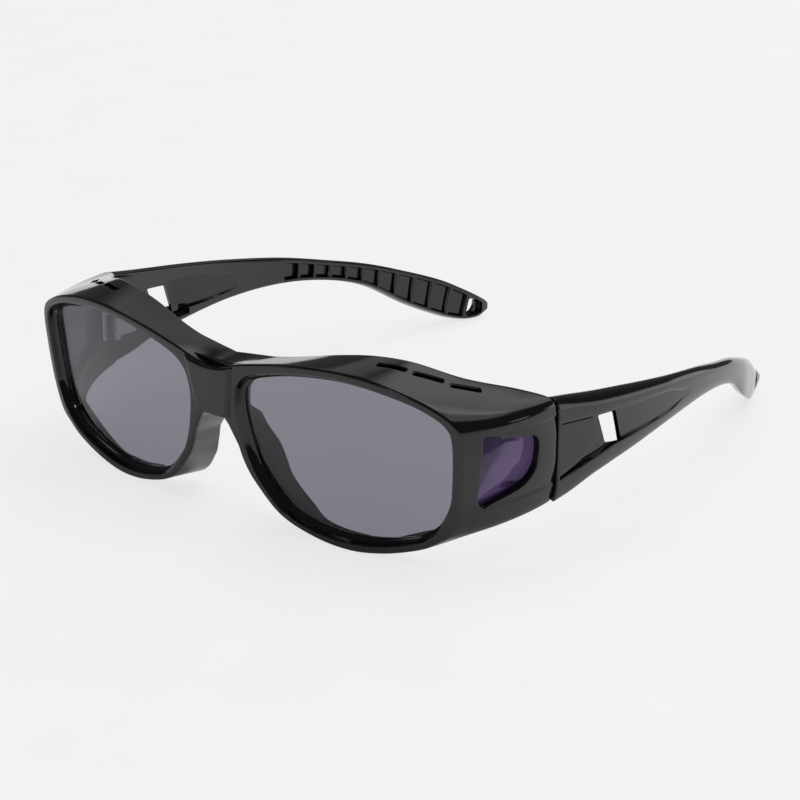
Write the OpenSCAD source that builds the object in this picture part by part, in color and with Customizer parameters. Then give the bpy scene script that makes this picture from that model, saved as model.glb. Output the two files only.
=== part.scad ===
// Fit-over wraparound sunglasses, open and standing on a table.
// X runs across the face with the wearer's left at +X, the lenses face -Y,
// and the table is at Z = 0. The origin lies on the table under the middle.

/* [Overall size] */
// Depth from the front of the bridge to the temple tips
overall_depth = 168.4; // [162:0.2:176]
// Width over the temples at the hinges
hinge_span = 150; // [146:1:154]
// Distance from the front of the bridge back to the hinge seam
hinge_setback = 38.9; // [37:0.1:41]

/* [Lens openings] */
// Width of one lens opening
lens_w = 58.4; // [56:0.2:60]
// Height of one lens opening
lens_h = 42.1; // [40:0.1:44]
// Gap between the two lens openings across the bridge
lens_gap = 14.7; // [14:0.1:18]
// Height of the lowest point of an opening above the table
lens_floor = 1.9; // [1.9:0.1:4]
// Radius of the wrap curve of the front
wrap_r = 236; // [220:1:260]
// Backward lean of the front, in degrees
lean = 6.9; // [5:0.1:9]

/* [Front moulding] */
// Width of the rim above a lens
rim_top = 1.8; // [1.5:0.1:2.5]
// Width of the rim on the temple side of a lens
rim_side = 2.1; // [1.8:0.1:3]
// Width of the rim under a lens
rim_bottom = 1.9; // [1.7:0.1:1.9]
// Width of the rim on the nose side of a lens
rim_nose = 2.1; // [1.9:0.1:2.8]
// Thickness of the rim from front to back
rim_depth = 4.8; // [4.5:0.1:6]
// Wall thickness of the brow shelf and the nose flanges
shell_wall = 2.0; // [1.6:0.1:2.4]
// Wall thickness of the side walls
side_wall = 3.8; // [3.4:0.1:4.4]
// Depth of the brow shelf over the bridge
brow_depth = 11; // [10:0.2:14]
// Depth of the nose flanges behind the face of the rim
flange_depth = 12; // [9:0.5:14]
// Depth of the lip under a lens behind the face of the rim
lip_depth = 6; // [5.5:0.1:8]
// Height of the shelf at the middle of the bridge
bridge_top = 39.4; // [38:0.2:41]
// Height of the underside of the bridge
bridge_low = 26.6; // [25:0.2:28]
// How far the bridge block stands proud of the rims
bridge_proud = 0.9; // [0.4:0.1:1.5]
// Height of the top of the hinge seam
seam_top = 38.4; // [37:0.1:40]
// Height of the bottom of the hinge seam
seam_low = 12.6; // [11:0.1:14]

/* [Lenses] */
// Thickness of a front lens
lens_t = 1.2; // [1:0.1:1.5]
// Depth of the lens face behind the face of the rim
lens_set = 2.4; // [1.8:0.1:2.8]
// How far the lens reaches into its groove past the front lip
lens_bite = 1.3; // [0.8:0.1:1.4]
// Clearance between a lens or pane and its seat
seat_gap = 0.05; // [0.02:0.01:0.1]
// Thickness of a side pane
pane_t = 1.0; // [0.8:0.1:1.2]
// How far a side pane overlaps the edge of its window
pane_lap = 0.9; // [0.6:0.1:1.1]

/* [Side windows and vents] */
// Distance from the seam forward to the rear edge of the window
window_back = 6.2; // [6:0.1:7]
// Length of the window along its top edge
window_len = 16; // [14:0.2:16.2]
// Height of the front end of its top edge above the table
window_top = 34.1; // [32:0.1:34.3]
// Height of the window along its front edge
window_h = 16.6; // [14:0.2:17]
// Length of one vent slot
vent_len = 7; // [5:0.5:8]
// Width of one vent slot
vent_w = 1.7; // [1.2:0.1:2.2]
// Distance of the vent slots in front of the rear edge of the shelf
vent_back = 4.8; // [4:0.2:6]

/* [Temples] */
// Thickness of a temple at the hinge
temple_root_t = 4.0; // [3.6:0.1:4.6]
// Thickness of a temple at the tip
temple_tip_t = 3.2; // [2.8:0.1:3.8]
// How far a temple bends inwards from hinge to tip
temple_bend = 27; // [23:0.5:30]
// Depth of the web panel behind the bars of a temple
panel_depth = 0.5; // [0.3:0.1:0.8]
// Depth of the tapered facet behind the cut-out
facet_depth = 1.3; // [0.8:0.1:1.5]
// Depth of the channel under the web panel
channel_depth = 1.3; // [0.8:0.1:1.4]
// Thickness of the web round the cut-out
web_t = 1.0; // [0.8:0.1:1.2]
// Depth of the cored pockets inside the rear half
core_depth = 1.7; // [1.2:0.1:2]
// Width of the border round the cored pockets
core_border = 1.3; // [1:0.1:1.6]
// Number of cored pockets
core_count = 12; // [8:1:14]
// Thickness of the ribs between the pockets
rib_t = 0.9; // [0.6:0.1:1.2]
// Length of the cord slot in a temple tip
slot_len = 5; // [4:0.2:5.6]
// Width of the cord slot in a temple tip
slot_w = 2.6; // [2:0.1:3]
// Distance of the middle of the cord slot from the end of the tip
slot_back = 5.9; // [5:0.1:8]
// Plastic left behind the last pocket, at the end of the tip
tip_border = 2.9; // [2:0.1:4]
// Distance from the seam to the rear end of the tapered facet
facet_end = 62; // [56:0.5:66]
// Distance from the seam to the front end of the first pocket
core_start = 64.3; // [60:0.1:70]
// Distance from the seam to the rear end of the hollow in the web
hollow_end = 48; // [40:0.5:54]

/* [Hinges] */
// Gap at the seam between front and temple
seam_gap = 0.3; // [0.2:0.05:0.5]
// Outer radius of the hinge barrel
barrel_r = 1.6; // [1.4:0.05:1.8]
// Radius of the hinge screw
screw_r = 0.7; // [0.6:0.05:0.8]
// Radial clearance of the screw in its barrel
screw_fit = 0.05; // [0.03:0.01:0.08]
// Height of the whole hinge barrel
barrel_h = 9; // [8:0.2:10]
// Height of the middle of the barrel above the table
barrel_z = 25.2; // [24:0.2:27]
// Gap between two knuckles
knuckle_gap = 0.1; // [0.05:0.01:0.15]
// Thickness of a hinge leaf
leaf_t = 1.1; // [0.9:0.1:1.3]
// How far a leaf is sunk into the plastic
leaf_sunk = 0.7; // [0.5:0.1:0.8]
// Length of the leaf on the front
front_leaf_len = 3.6; // [3.4:0.1:3.8]
// Length of the leaf on the temple
temple_leaf_len = 8.5; // [6:0.5:10]

/* [Hidden] */
gloss_black = "#161618";
lens_grey = "#6f6d78";
pane_purple = "#6a5a78";
hinge_steel = "#b9bcc0";

front_y = -overall_depth / 2;
seam_y = front_y + hinge_setback;
tip_y = overall_depth / 2;
half_span = hinge_span / 2;
temple_start = seam_y + seam_gap / 2;
temple_len = tip_y - temple_start;
knuckle_h = (barrel_h - 2 * knuckle_gap) / 3;
knuckle_play = 0.25;
inner_x = half_span - temple_root_t;
barrel_x = inner_x + leaf_sunk - barrel_r;
edge_round = 0.6;
past = 4;
smooth = 2;

// Smooth curve through four neighbouring values, at t from 0 to 1
function blend4(a, b, c, d, t) =
    0.5 * (2 * b + (c - a) * t + (2 * a - 5 * b + 4 * c - d) * t * t
    + (3 * b - a - 3 * c + d) * t * t * t);
// Point at station s of a closed smooth curve through the points p
function on_loop(p, s) =
    let(n = len(p), i = floor(s), t = s - i)
    blend4(p[(i + n - 1) % n], p[i % n], p[(i + 1) % n], p[(i + 2) % n], t);
// Value at station s of a closed chain of straight lines through p
function on_chain(p, s) =
    let(n = len(p), i = floor(s), t = s - i)
    p[i % n] * (1 - t) + p[(i + 1) % n] * t;
// Index of the last pair in a table that starts at or before v
function pair_at(tab, v, i = 0) =
    i >= len(tab) - 2 || tab[i + 1][0] > v ? i : pair_at(tab, v, i + 1);
// Slope of a table of pairs at pair i
function slope_at(tab, i) =
    let(a = max(i - 1, 0), b = min(i + 1, len(tab) - 1))
    (tab[b][1] - tab[a][1]) / (tab[b][0] - tab[a][0]);
// Smooth value at v of a table of pairs
function on_table(tab, v) =
    let(i = pair_at(tab, v), w = tab[i + 1][0] - tab[i][0], t = min(max((v - tab[i][0]) / w, 0), 1))
    tab[i][1] * (1 + 2 * t) * (1 - t) * (1 - t) + slope_at(tab, i) * w * t * (1 - t) * (1 - t)
    + tab[i + 1][1] * t * t * (3 - 2 * t) + slope_at(tab, i + 1) * w * t * t * (t - 1);
// Unit vector along v
function unit(v) = v / norm(v);
// Closed skin over rings of points, each ring a list of the same length
module skin(rings, closed) {
    n = len(rings[0]);
    m = len(rings);
    points = [for (r = rings) each r];
    last = closed ? m - 1 : m - 2;
    sides = [for (i = [0:last], j = [0:n - 1])
        let(a = i * n + j, b = i * n + (j + 1) % n, c = ((i + 1) % m) * n + (j + 1) % n,
            d = ((i + 1) % m) * n + j)
        each [[a, b, c], [a, c, d]]];
    caps = closed ? [] : [[for (j = [n - 1:-1:0]) j], [for (j = [0:n - 1]) (m - 1) * n + j]];
    polyhedron(points, concat(sides, caps), convexity = 10);
}
// The same shape on both sides of the face
module both_sides() {
    children();
    mirror([1, 0, 0]) children();
}

// Y of the front face of the rims at x, z
function face_y(x, z) =
    front_y + bridge_proud + wrap_r - sqrt(wrap_r * wrap_r - x * x) + tan(lean) * (bridge_top - z);

// Outline of a lens opening, as shares of its width and height.
// It starts above the bridge and runs over the brow, down the temple side and back by the nose.
opening_shape = [
    [0.022, 0.82], [0.082, 0.893], [0.23, 0.955], [0.385, 0.99], [0.535, 1.0], [0.68, 0.98],
    [0.835, 0.934], [0.94, 0.873], [0.987, 0.815], [1.0, 0.745], [0.998, 0.62], [0.99, 0.485],
    [0.975, 0.343], [0.933, 0.215], [0.882, 0.143], [0.815, 0.087], [0.668, 0.026], [0.515, 0.0],
    [0.355, 0.018], [0.2, 0.094], [0.092, 0.255], [0.05, 0.363], [0.027, 0.456], [0.01, 0.565],
    [0.004, 0.62], [0.0, 0.68], [0.005, 0.75]];
stations = len(opening_shape);
opening = [for (p = opening_shape) [lens_gap / 2 + lens_w * p[0], lens_floor + lens_h * p[1]]];
// Direction away from the lens at station s of the opening
function opening_out(s) =
    let(d = unit(on_loop(opening, s + 0.1) - on_loop(opening, s + stations - 0.1)))
    [-d[1], d[0]];

// Width of the rim at each station from 1 to 22
rim_w = [0, 1.6 * rim_top, 1.15 * rim_top, rim_top, rim_top, 1.1 * rim_top, rim_top, rim_top, rim_side,
    rim_side, rim_side, rim_side, 0.95 * rim_side, 1.15 * rim_side, 0.95 * rim_bottom,
    0.9 * rim_bottom, 0.95 * rim_bottom, rim_bottom, 0.8 * rim_bottom, 0.75 * rim_bottom,
    0.85 * rim_nose, rim_nose, rim_nose];
first_bridge = 23;
// Outline of the bridge, from the corner over the nose to the middle of the shelf
bridge_half = 4.4;
bridge_shape = [[bridge_half, bridge_low - 1.4], [0.75 * bridge_half, bridge_low - 0.1],
    [0, bridge_low], [0, (bridge_low + bridge_top) / 2]];
outer = [for (i = [0:stations - 1])
    i == 0 ? [0, bridge_top]
    : i >= first_bridge ? bridge_shape[i - first_bridge]
    : opening[i] + rim_w[i] * opening_out(i)];
// The bridge part is straight, the rest is smooth and leaves the middle level
function outer_at(s) =
    let(i = floor(s) % stations, t = s - floor(s))
    i >= first_bridge - 1 ? on_chain(outer, s)
    : i == 0 ? blend4([-outer[1][0], outer[1][1]], outer[0], outer[1], outer[2], t)
    : i == first_bridge - 2 ? blend4(outer[i - 1], outer[i], outer[i + 1], outer[i + 2], t)
    : on_loop(outer, s);
// Direction away from the moulding at station s of its outline
function outer_out(s) =
    let(d = unit(outer_at(s + 0.1) - outer_at(s + stations - 0.1)))
    s == 0 ? [0, 1] : s == first_bridge + 2 ? [0, -1] : [-d[1], d[0]];

// Rear edge of the moulding: across, distance behind the front of the bridge, height.
// The first stations are the brow shelf, then come the seam and the edge under the side wall.
seam_h = seam_top - seam_low;
front_end = hinge_setback - seam_gap / 2;
function lip(i, depth) =
    let(p = outer[i]) [p[0], face_y(p[0], p[1]) - front_y + depth, p[1] + tan(lean) * depth];
rear_edge = [
    [0, brow_depth, bridge_top + 0.9],
    [11.6, brow_depth + 0.9, bridge_top + 2.1],
    [20.2, brow_depth + 2.2, bridge_top + 3.7],
    [29.6, brow_depth + 4.2, lens_floor + lens_h + 1.2],
    [38.6, brow_depth + 6.1, lens_floor + lens_h + 2.5],
    [47.6, brow_depth + 8.6, lens_floor + lens_h + 2.4],
    [half_span - 17.4, brow_depth + 14.8, seam_top + 4.8],
    [half_span - 8.6, hinge_setback - 3.8, seam_top + 1.8],
    [half_span - 2, front_end, seam_top],
    [half_span - 0.6, front_end, seam_top - 0.12 * seam_h],
    [half_span, front_end, seam_low + 0.66 * seam_h],
    [half_span, front_end, seam_low + 0.44 * seam_h],
    [half_span - 0.6, front_end, seam_low + 0.22 * seam_h],
    [half_span - 1.8, front_end, seam_low + 0.02 * seam_h],
    [half_span - 2.8, hinge_setback - 8.8, seam_low + 0.4],
    [half_span - 5.6, hinge_setback - 18, seam_low - 0.2],
    lip(16, lip_depth), lip(17, lip_depth), lip(18, lip_depth),
    [18.3, 5.4 + flange_depth, 3.1],
    [12.6, 4.4 + flange_depth, 9.0],
    [10.6, 3.7 + flange_depth, 14.0],
    [9.0, 2.8 + flange_depth, 18.5],
    [6.0, 1.9 + flange_depth, bridge_low - 4.4],
    [3.2, 1.3 + flange_depth, bridge_low - 2.1],
    [0, brow_depth + 1.5, bridge_low - 1.2],
    [0, brow_depth + 0.8, (bridge_low + bridge_top) / 2]];
// Middle handle of the curve from the outline to the rear edge, as an outward bulge
side_bulge = 3.9;
bulge = [0, 0, 0, 0, 0, 0.1, 0.4, 0.6, 0.9, 1, 1, 1, 1, 1, 0.7, 0.4,
    0, 0, 0, 0, 0, 0, 0, 0, 0, 0, 0] * side_bulge;
// Step from the outer skin to the inner skin at each station, across and up
bridge_core = 3.6;
core_step = [for (i = [0:stations - 1])
    i == 0 ? [bridge_core, -shell_wall]
    : i == stations - 1 ? [bridge_core, 0]
    : i == stations - 2 ? [bridge_core, shell_wall]
    : i == stations - 3 ? [0.9 * bridge_core, 0.8 * shell_wall]
    : i >= 9 && i <= 13 ? -side_wall * outer_out(i)
    : i == 8 || i == 14 ? -0.5 * (side_wall + shell_wall) * outer_out(i)
    : -shell_wall * outer_out(i)];
// Point at share t of the way from the outline to the rear edge at station s, bent by the bulge
function skirt(s, t, inside) =
    let(o = outer_at(s), q = on_chain(core_step, s) * inside,
        start = inside == 0 ? 2 * edge_round : rim_depth,
        a = [o[0] + q[0], face_y(o[0] + q[0], o[1] + q[1]) + start, o[1] + q[1]],
        r = s >= first_bridge - 1 || s < 1 ? on_chain(rear_edge, s) : on_loop(rear_edge, s),
        b = [min(r[0], half_span) + q[0], front_y + min(r[1], front_end), r[2] + q[1]],
        mid = (a + b) / 2 + [on_chain(bulge, s), 0, 0])
    a * (1 - t) * (1 - t) + 2 * mid * t * (1 - t) + b * t * t;
// Point on the lens side, a step in from the opening and a depth behind the face
function reveal(s, step, depth) =
    let(p = on_loop(opening, s) - step * opening_out(s))
    [p[0], face_y(p[0], p[1]) + depth, p[1]];
// Point on the front face just inside the outer edge
function brim(s) =
    let(o = outer_at(s), on_middle = s > first_bridge + 2 && s < stations,
        p = on_middle ? o : o - edge_round * outer_out(s))
    [p[0], face_y(p[0], p[1]), p[1]];
lip_in = 1.4;
groove_in = lip_in - lens_bite;
groove_back = lens_set + lens_t + 2 * seat_gap;
// One closed section of the moulding at station s
function front_section(s) = [
    reveal(s, 0, 0),
    reveal(s, 0.7 * lip_in, 0.6 * lens_set),
    reveal(s, lip_in, lens_set),
    reveal(s, groove_in, lens_set),
    reveal(s, groove_in, groove_back),
    reveal(s, lip_in, groove_back),
    reveal(s, lip_in, rim_depth),
    skirt(s, 0, 1), skirt(s, 0.33, 1), skirt(s, 0.67, 1), skirt(s, 1, 1),
    skirt(s, 1, 0), skirt(s, 0.67, 0), skirt(s, 0.33, 0), skirt(s, 0, 0),
    brim(s)];
module front_half() {
    skin([for (k = [stations * smooth - 1:-1:0]) front_section(k / smooth)], true);
}

// Front lens: a thin sheet on the wrap curve, with rings drawn in towards its middle
lens_mid = [lens_gap / 2 + lens_w / 2, lens_floor + lens_h / 2];
function lens_ring(share, depth) = [for (k = [0:stations * smooth - 1])
    let(s = k / smooth, e = on_loop(opening, s) - (groove_in + seat_gap) * opening_out(s),
        p = lens_mid + (e - lens_mid) * share)
    [p[0], face_y(p[0], p[1]) + depth, p[1]]];
module lens() {
    front = lens_set + seat_gap;
    back = front + lens_t;
    color(lens_grey, 0.75)
    skin([lens_ring(0.02, back), lens_ring(0.45, back), lens_ring(0.8, back), lens_ring(1, back),
        lens_ring(1, front), lens_ring(0.8, front), lens_ring(0.45, front), lens_ring(0.02, front)], false);
}

// Frame of a side window: on the outer skin, X outwards and Y back along the wall
window_turn = 17.5;
window_rear = seam_y - window_back;
module at_window() {
    translate([half_span - 0.75, window_rear, window_top]) rotate([0, 0, -window_turn]) children();
}
window_shape = [[-window_len, 0], [-2.2, -0.125 * window_h], [-0.6, -0.2 * window_h], [0, -0.31 * window_h],
    [-0.6, -0.64 * window_h], [-3.8, -0.85 * window_h], [-0.88 * window_len, -1.06 * window_h],
    [-0.97 * window_len, -1.05 * window_h], [-1.02 * window_len, -0.97 * window_h]];
// The outline grown outwards by a margin
function grown(shape, m) = let(n = len(shape)) [for (i = [0:n - 1])
    let(a = unit(shape[i] - shape[(i + n - 1) % n]), b = unit(shape[(i + 1) % n] - shape[i]),
        out = [-a[1] - b[1], a[0] + b[0]])
    shape[i] + out * m / (1 + a * b)];
module window_prism(m, from, to) {
    at_window() translate([from, 0, 0]) rotate([90, 0, 90])
        linear_extrude(to - from) polygon(grown(window_shape, m));
}
pane_face = -side_wall + pane_t + 0.6;
module side_window() {
    window_prism(0, -12, 12);
    window_prism(pane_lap + seat_gap, -12, pane_face + seat_gap);
}
module side_pane() {
    color(pane_purple, 0.8) window_prism(pane_lap, pane_face - pane_t, pane_face);
}

// Vent slots along the rear edge of the brow shelf
vent_at = [4.77, 5.57, 6.25];
module vents() {
    for (s = vent_at) {
        r = on_loop(rear_edge, s);
        q = on_loop(rear_edge, s + 0.3);
        turn = atan2(q[1] - r[1], q[0] - r[0]);
        translate([r[0], front_y + r[1] - vent_back, r[2]]) rotate([0, 0, turn])
            cube([vent_len, vent_w, 4 * shell_wall], center = true);
    }
}

// Bridge block, a keystone that stands proud of the two rims
block_low = 4.4;
block_top = 6.2;
module bridge_block() {
    function block_ring(z, half) =
        let(back = face_y(0, z) + 2, proud = face_y(0, z) - bridge_proud, bevel = 0.5)
        [[half, back, z], [half, proud + bevel, z], [half - bevel, proud, z],
        [-half + bevel, proud, z], [-half, proud + bevel, z], [-half, back, z]];
    skin([block_ring(bridge_low + 0.2, block_low), block_ring(bridge_low + 0.9, block_low + 0.3),
        block_ring(bridge_top - 0.7, block_top), block_ring(bridge_top + 0.1, block_top - 0.5)], false);
}

// Hinge seats: a flat pad inside each end of the front, and the pockets for leaf and barrel
pad_border = 1.1;
pad_t = 2.4;
pad_margin = 2;
head_room = 2.4;
pad_front = seam_y - front_leaf_len - pad_border;
leaf_low = barrel_z - barrel_h / 2;
module hinge_pad() {
    translate([inner_x, pad_front, leaf_low - pad_margin])
        cube([pad_t, seam_y - seam_gap / 2 - pad_front, barrel_h + 2 * pad_margin]);
}
module barrel_clearance() {
    translate([barrel_x, seam_y, leaf_low - edge_round])
        cylinder(r = barrel_r + knuckle_play, h = barrel_h + edge_round + head_room, $fn = 48);
}
module leaf_pocket(from, to) {
    translate([inner_x - past, from - seat_gap, leaf_low - seat_gap])
        cube([past + leaf_sunk + seat_gap, to - from + 2 * seat_gap, barrel_h + 2 * seat_gap]);
}

module front_frame() {
    color(gloss_black) difference() {
        union() {
            both_sides() front_half();
            bridge_block();
            both_sides() hinge_pad();
        }
        both_sides() {
            side_window();
            vents();
            barrel_clearance();
            leaf_pocket(seam_y - front_leaf_len, seam_y);
        }
    }
}

// Temple, given by its outer face, top and bottom. Places along it are shares of its length,
// and heights are shares of the height of the top of the seam.
top_shape = [[0, 0.997], [0.116, 0.932], [0.232, 0.875], [0.363, 0.807], [0.503, 0.727], [0.618, 0.638],
    [0.711, 0.56], [0.804, 0.453], [0.881, 0.349], [0.935, 0.248], [0.97, 0.175], [0.988, 0.138],
    [1, 0.104]];
low_shape = [[0, 0.333], [0.046, 0.359], [0.116, 0.417], [0.232, 0.474], [0.363, 0.521], [0.503, 0.529],
    [0.618, 0.479], [0.711, 0.378], [0.804, 0.19], [0.881, 0.06], [0.916, 0.016], [0.94, 0.001],
    [0.966, 0.008], [0.988, 0.029], [1, 0.052]];
// Share of the bend reached along the temple, which bows out a little first
bend_shape = [[0, 0], [0.155, 0.048], [0.309, 0.015], [0.464, -0.089], [0.618, -0.263], [0.773, -0.507],
    [0.889, -0.758], [0.951, -0.9], [1, -1]];
// Thickness along the temple, with a stouter root and a tip that thins out from inside
thick_shape = [[0, temple_root_t], [0.077, temple_root_t + 0.7], [0.193, temple_root_t + 0.6],
    [0.348, temple_tip_t + 0.4], [0.464, temple_tip_t], [0.959, temple_tip_t], [1, 0.4 * temple_tip_t]];
function top(v) = seam_top * on_table(top_shape, v / temple_len);
function low(v) = seam_top * on_table(low_shape, v / temple_len);
function outer_x(v) = half_span + temple_bend * on_table(bend_shape, v / temple_len);
function thick(v) = on_table(thick_shape, v / temple_len);
// Lower edge of the upper bar and upper edge of the lower bar, which keep their least widths
bar_low_root = 31.9;
bar_low_fall = 0.08;
bar_top_root = 18;
bar_top_rise = 0.2;
bar_top_most = 22.5;
upper_bar_w = 2.6;
lower_bar_w = 1.6;
function bar_low(v) = min(bar_low_root - bar_low_fall * v, top(v) - upper_bar_w);
function bar_top(v) = max(min(bar_top_root + bar_top_rise * v, bar_top_most), low(v) + lower_bar_w);
// Depth of the panel and facet between the bars
panel_end = 19;
facet_start = 25;
function relief(v) =
    v < panel_end ? panel_depth : facet_depth * min(1, (facet_end - v) / (facet_end - facet_start));
function temple_section(v) =
    let(x = outer_x(v), t = thick(v), z1 = top(v), z0 = low(v),
        h = z1 - z0, carved = v < facet_end,
        u = carved ? bar_low(v) : z0 + 0.6 * h, w = carved ? bar_top(v) : z0 + 0.4 * h,
        d = carved ? relief(v) : 0, s = min(0.25, 0.05 * h), up = min(0.8 * (z1 - u), 4.5),
        foot = w - z0, over = 0.55 * t, under = 0.3 * t, c = min(0.6, 0.2 * h), slant = min(0.9, 0.06 * h))
    [[x, 0, w], [x - d, 0, w + s], [x - d, 0, u - s], [x, 0, u], [x, 0, z1 - up],
    [x - 0.1 * over, 0, z1 - 0.55 * up], [x - 0.4 * over, 0, z1 - 0.18 * up], [x - over, 0, z1],
    [x - t + 0.4, 0, z1], [x - t, 0, z1 - c], [x - t, 0, z0 + slant + c], [x - t + 0.4, 0, z0 + slant],
    [x - under, 0, z0], [x - 0.5 * under, 0, z0 + 0.12 * foot], [x - 0.15 * under, 0, z0 + 0.5 * foot]];
// Places of the sections: by eye round the panel, then even, then closer towards the tip
rear_steps = 18;
temple_steps = concat([0, 3, 6, 10, 14, panel_end - 0.2, panel_end + 0.2],
    [for (k = [0:8]) panel_end + 4 + (facet_end - panel_end - 4.1) * k / 8],
    [for (k = [0:rear_steps]) facet_end + (temple_len - facet_end) * (1 - pow(1 - k / rear_steps, 1.5))]);
module temple_blank() {
    skin([for (v = temple_steps) [for (p = temple_section(v)) [p[0], temple_start + v, p[2]]]], false);
}
// Flat outline in Y behind the seam and Z, cut inwards from the outside
module side_cut(outline, from, to) {
    translate([from, seam_y, 0]) rotate([90, 0, 90]) linear_extrude(to - from) polygon(outline);
}
window_cut = [[14.4, 30.9], [21.7, 30.3], [24.3, 22], [17.8, 23]];
channel_cut = [[1.4, 18.4], [9.2, 21.3], [13.1, 23.7], [15.7, 25.5], [12.9, 30.9], [14.4, 30.9],
    [17.8, 23], [24.3, 22], [15, 20.9], [6, 19.1]];
// Hollow in the back of the web, deepest round the cut-out and fading rearwards. Its top and
// bottom are heights at shares of its length.
hollow_start = 11;
hollow_fade = 24;
hollow_top = [[0, 31.6], [0.4, 30.8], [0.68, 29.5], [1, 27.6]];
hollow_low = [[0, 21.2], [0.4, 21.6], [0.68, 21.9], [1, 23]];
module web_hollow() {
    function hollow_ring(t) =
        let(v = hollow_start + (hollow_end - hollow_start) * t, x = outer_x(v) - thick(v),
            z1 = on_table(hollow_top, t), z0 = on_table(hollow_low, t),
            d = (thick(v) - facet_depth - web_t) * min(1, (hollow_end - v) / (hollow_end - hollow_fade)))
        [[x - 1, temple_start + v, z0], [x + d, temple_start + v, z0 + 0.3],
        [x + d, temple_start + v, z1 - 0.3], [x - 1, temple_start + v, z1]];
    steps = 9;
    skin([for (k = [0:steps]) hollow_ring(0.995 * k / steps)], false);
}
// Cored pockets: a channel along the inside of the rear half, with ribs left standing
core_end = temple_len - tip_border;
module core_pockets() {
    function core_ring(v) =
        let(x = outer_x(v) - thick(v), z0 = low(v) + core_border, z1 = top(v) - core_border)
        [[x - 2, temple_start + v, z0], [x + core_depth, temple_start + v, z0 + 0.4],
        [x + core_depth, temple_start + v, z1 - 0.4], [x - 2, temple_start + v, z1]];
    steps = 24;
    skin([for (k = [0:steps]) core_ring(core_start + (core_end - core_start) * k / steps)], false);
}
module core_ribs() {
    pitch = (core_end - core_start) / core_count;
    for (k = [1:core_count - 1]) {
        v = core_start + k * pitch;
        turn = atan2(outer_x(v - 1) - outer_x(v + 1), 2);
        fall = atan2(top(v - 1) - top(v + 1), 2);
        translate([outer_x(v) - thick(v) + core_depth / 2 + 0.2, temple_start + v, (top(v) + low(v)) / 2])
            rotate([-0.35 * fall, 0, turn])
                cube([core_depth + 0.4, rib_t, top(v) - low(v) + past], center = true);
    }
}
slot_v = temple_len - slot_back;
module cord_slot() {
    arc_r = (slot_len * slot_len + slot_w * slot_w) / (4 * slot_w);
    z = (top(slot_v) + low(slot_v)) / 2;
    turn = atan2(outer_x(slot_v - 1) - outer_x(slot_v + 1), 2);
    translate([outer_x(slot_v) - thick(slot_v) / 2, temple_start + slot_v, z]) rotate([0, 0, turn])
        rotate([-20, 0, 0]) rotate([0, 90, 0]) intersection_for (e = [-1, 1])
            translate([0, e * (arc_r - slot_w / 2), 0]) cylinder(r = arc_r, h = 14, center = true, $fn = 64);
}
module temple() {
    color(gloss_black) difference() {
        temple_blank();
        side_cut(window_cut, half_span - 12, half_span + 5);
        side_cut(channel_cut, half_span - channel_depth + 0.9, half_span + 5);
        web_hollow();
        difference() {
            core_pockets();
            core_ribs();
        }
        cord_slot();
        barrel_clearance();
        leaf_pocket(seam_y, seam_y + temple_leaf_len);
    }
}

// Hinge leaf: a plate along the plastic and its knuckles, dir -1 to the front and 1 to the temple
module hinge_leaf(dir, len, knuckles) {
    reach = barrel_r + knuckle_play + 0.1;
    color(hinge_steel) difference() {
        union() {
            translate([barrel_x + barrel_r - leaf_t, seam_y + (dir > 0 ? reach : -len), leaf_low])
                cube([leaf_t, len - reach, barrel_h]);
            for (k = knuckles) translate([0, 0, leaf_low + k * (knuckle_h + knuckle_gap)]) {
                translate([barrel_x, seam_y, 0]) cylinder(r = barrel_r, h = knuckle_h, $fn = 48);
                translate([barrel_x + barrel_r - leaf_t, seam_y + (dir > 0 ? 0 : -reach - 0.1), 0])
                    cube([leaf_t, reach + 0.1, knuckle_h]);
            }
        }
        translate([barrel_x, seam_y, leaf_low - 1])
            cylinder(r = screw_r + screw_fit, h = barrel_h + 2, $fn = 48);
    }
}
module front_leaf() {
    hinge_leaf(-1, front_leaf_len, [0, 2]);
}
module temple_leaf() {
    hinge_leaf(1, temple_leaf_len, [1]);
}
// Hinge screw with a slotted head on top of the barrel
head_r = 1.25;
head_h = 0.8;
module hinge_screw() {
    color(hinge_steel) translate([barrel_x, seam_y, leaf_low + 0.2]) difference() {
        union() {
            cylinder(r = screw_r, h = barrel_h, $fn = 48);
            translate([0, 0, barrel_h - 0.2 + knuckle_gap / 2]) cylinder(r = head_r, h = head_h, $fn = 48);
        }
        translate([-head_r - 1, -0.15, barrel_h + head_h - 0.45])
            cube([2 * head_r + 2, 0.3, 1]);
    }
}

module left_lens() { lens(); }
module right_lens() { mirror([1, 0, 0]) lens(); }
module left_side_pane() { side_pane(); }
module right_side_pane() { mirror([1, 0, 0]) side_pane(); }
module left_temple() { temple(); }
module right_temple() { mirror([1, 0, 0]) temple(); }
module left_front_leaf() { front_leaf(); }
module right_front_leaf() { mirror([1, 0, 0]) front_leaf(); }
module left_temple_leaf() { temple_leaf(); }
module right_temple_leaf() { mirror([1, 0, 0]) temple_leaf(); }
module left_hinge_screw() { hinge_screw(); }
module right_hinge_screw() { mirror([1, 0, 0]) hinge_screw(); }

front_frame();
left_lens();
right_lens();
left_side_pane();
right_side_pane();
left_temple();
right_temple();
left_front_leaf();
right_front_leaf();
left_temple_leaf();
right_temple_leaf();
left_hinge_screw();
right_hinge_screw();
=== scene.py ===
"""Looks of a pair of fit-over wraparound sunglasses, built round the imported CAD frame.

The mouldings are lofted from the same tables as the solids, at a finer pitch and with rounded
edges. Lengths are in millimetres until a mesh is finished. X points to the wearer's left, the
lenses face -Y, and Z is up from the table.
"""

import logging
import math
from dataclasses import dataclass, field
from enum import Enum

import bmesh
import bpy
from mathutils import Matrix, Vector
from mathutils.bvhtree import BVHTree


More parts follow.
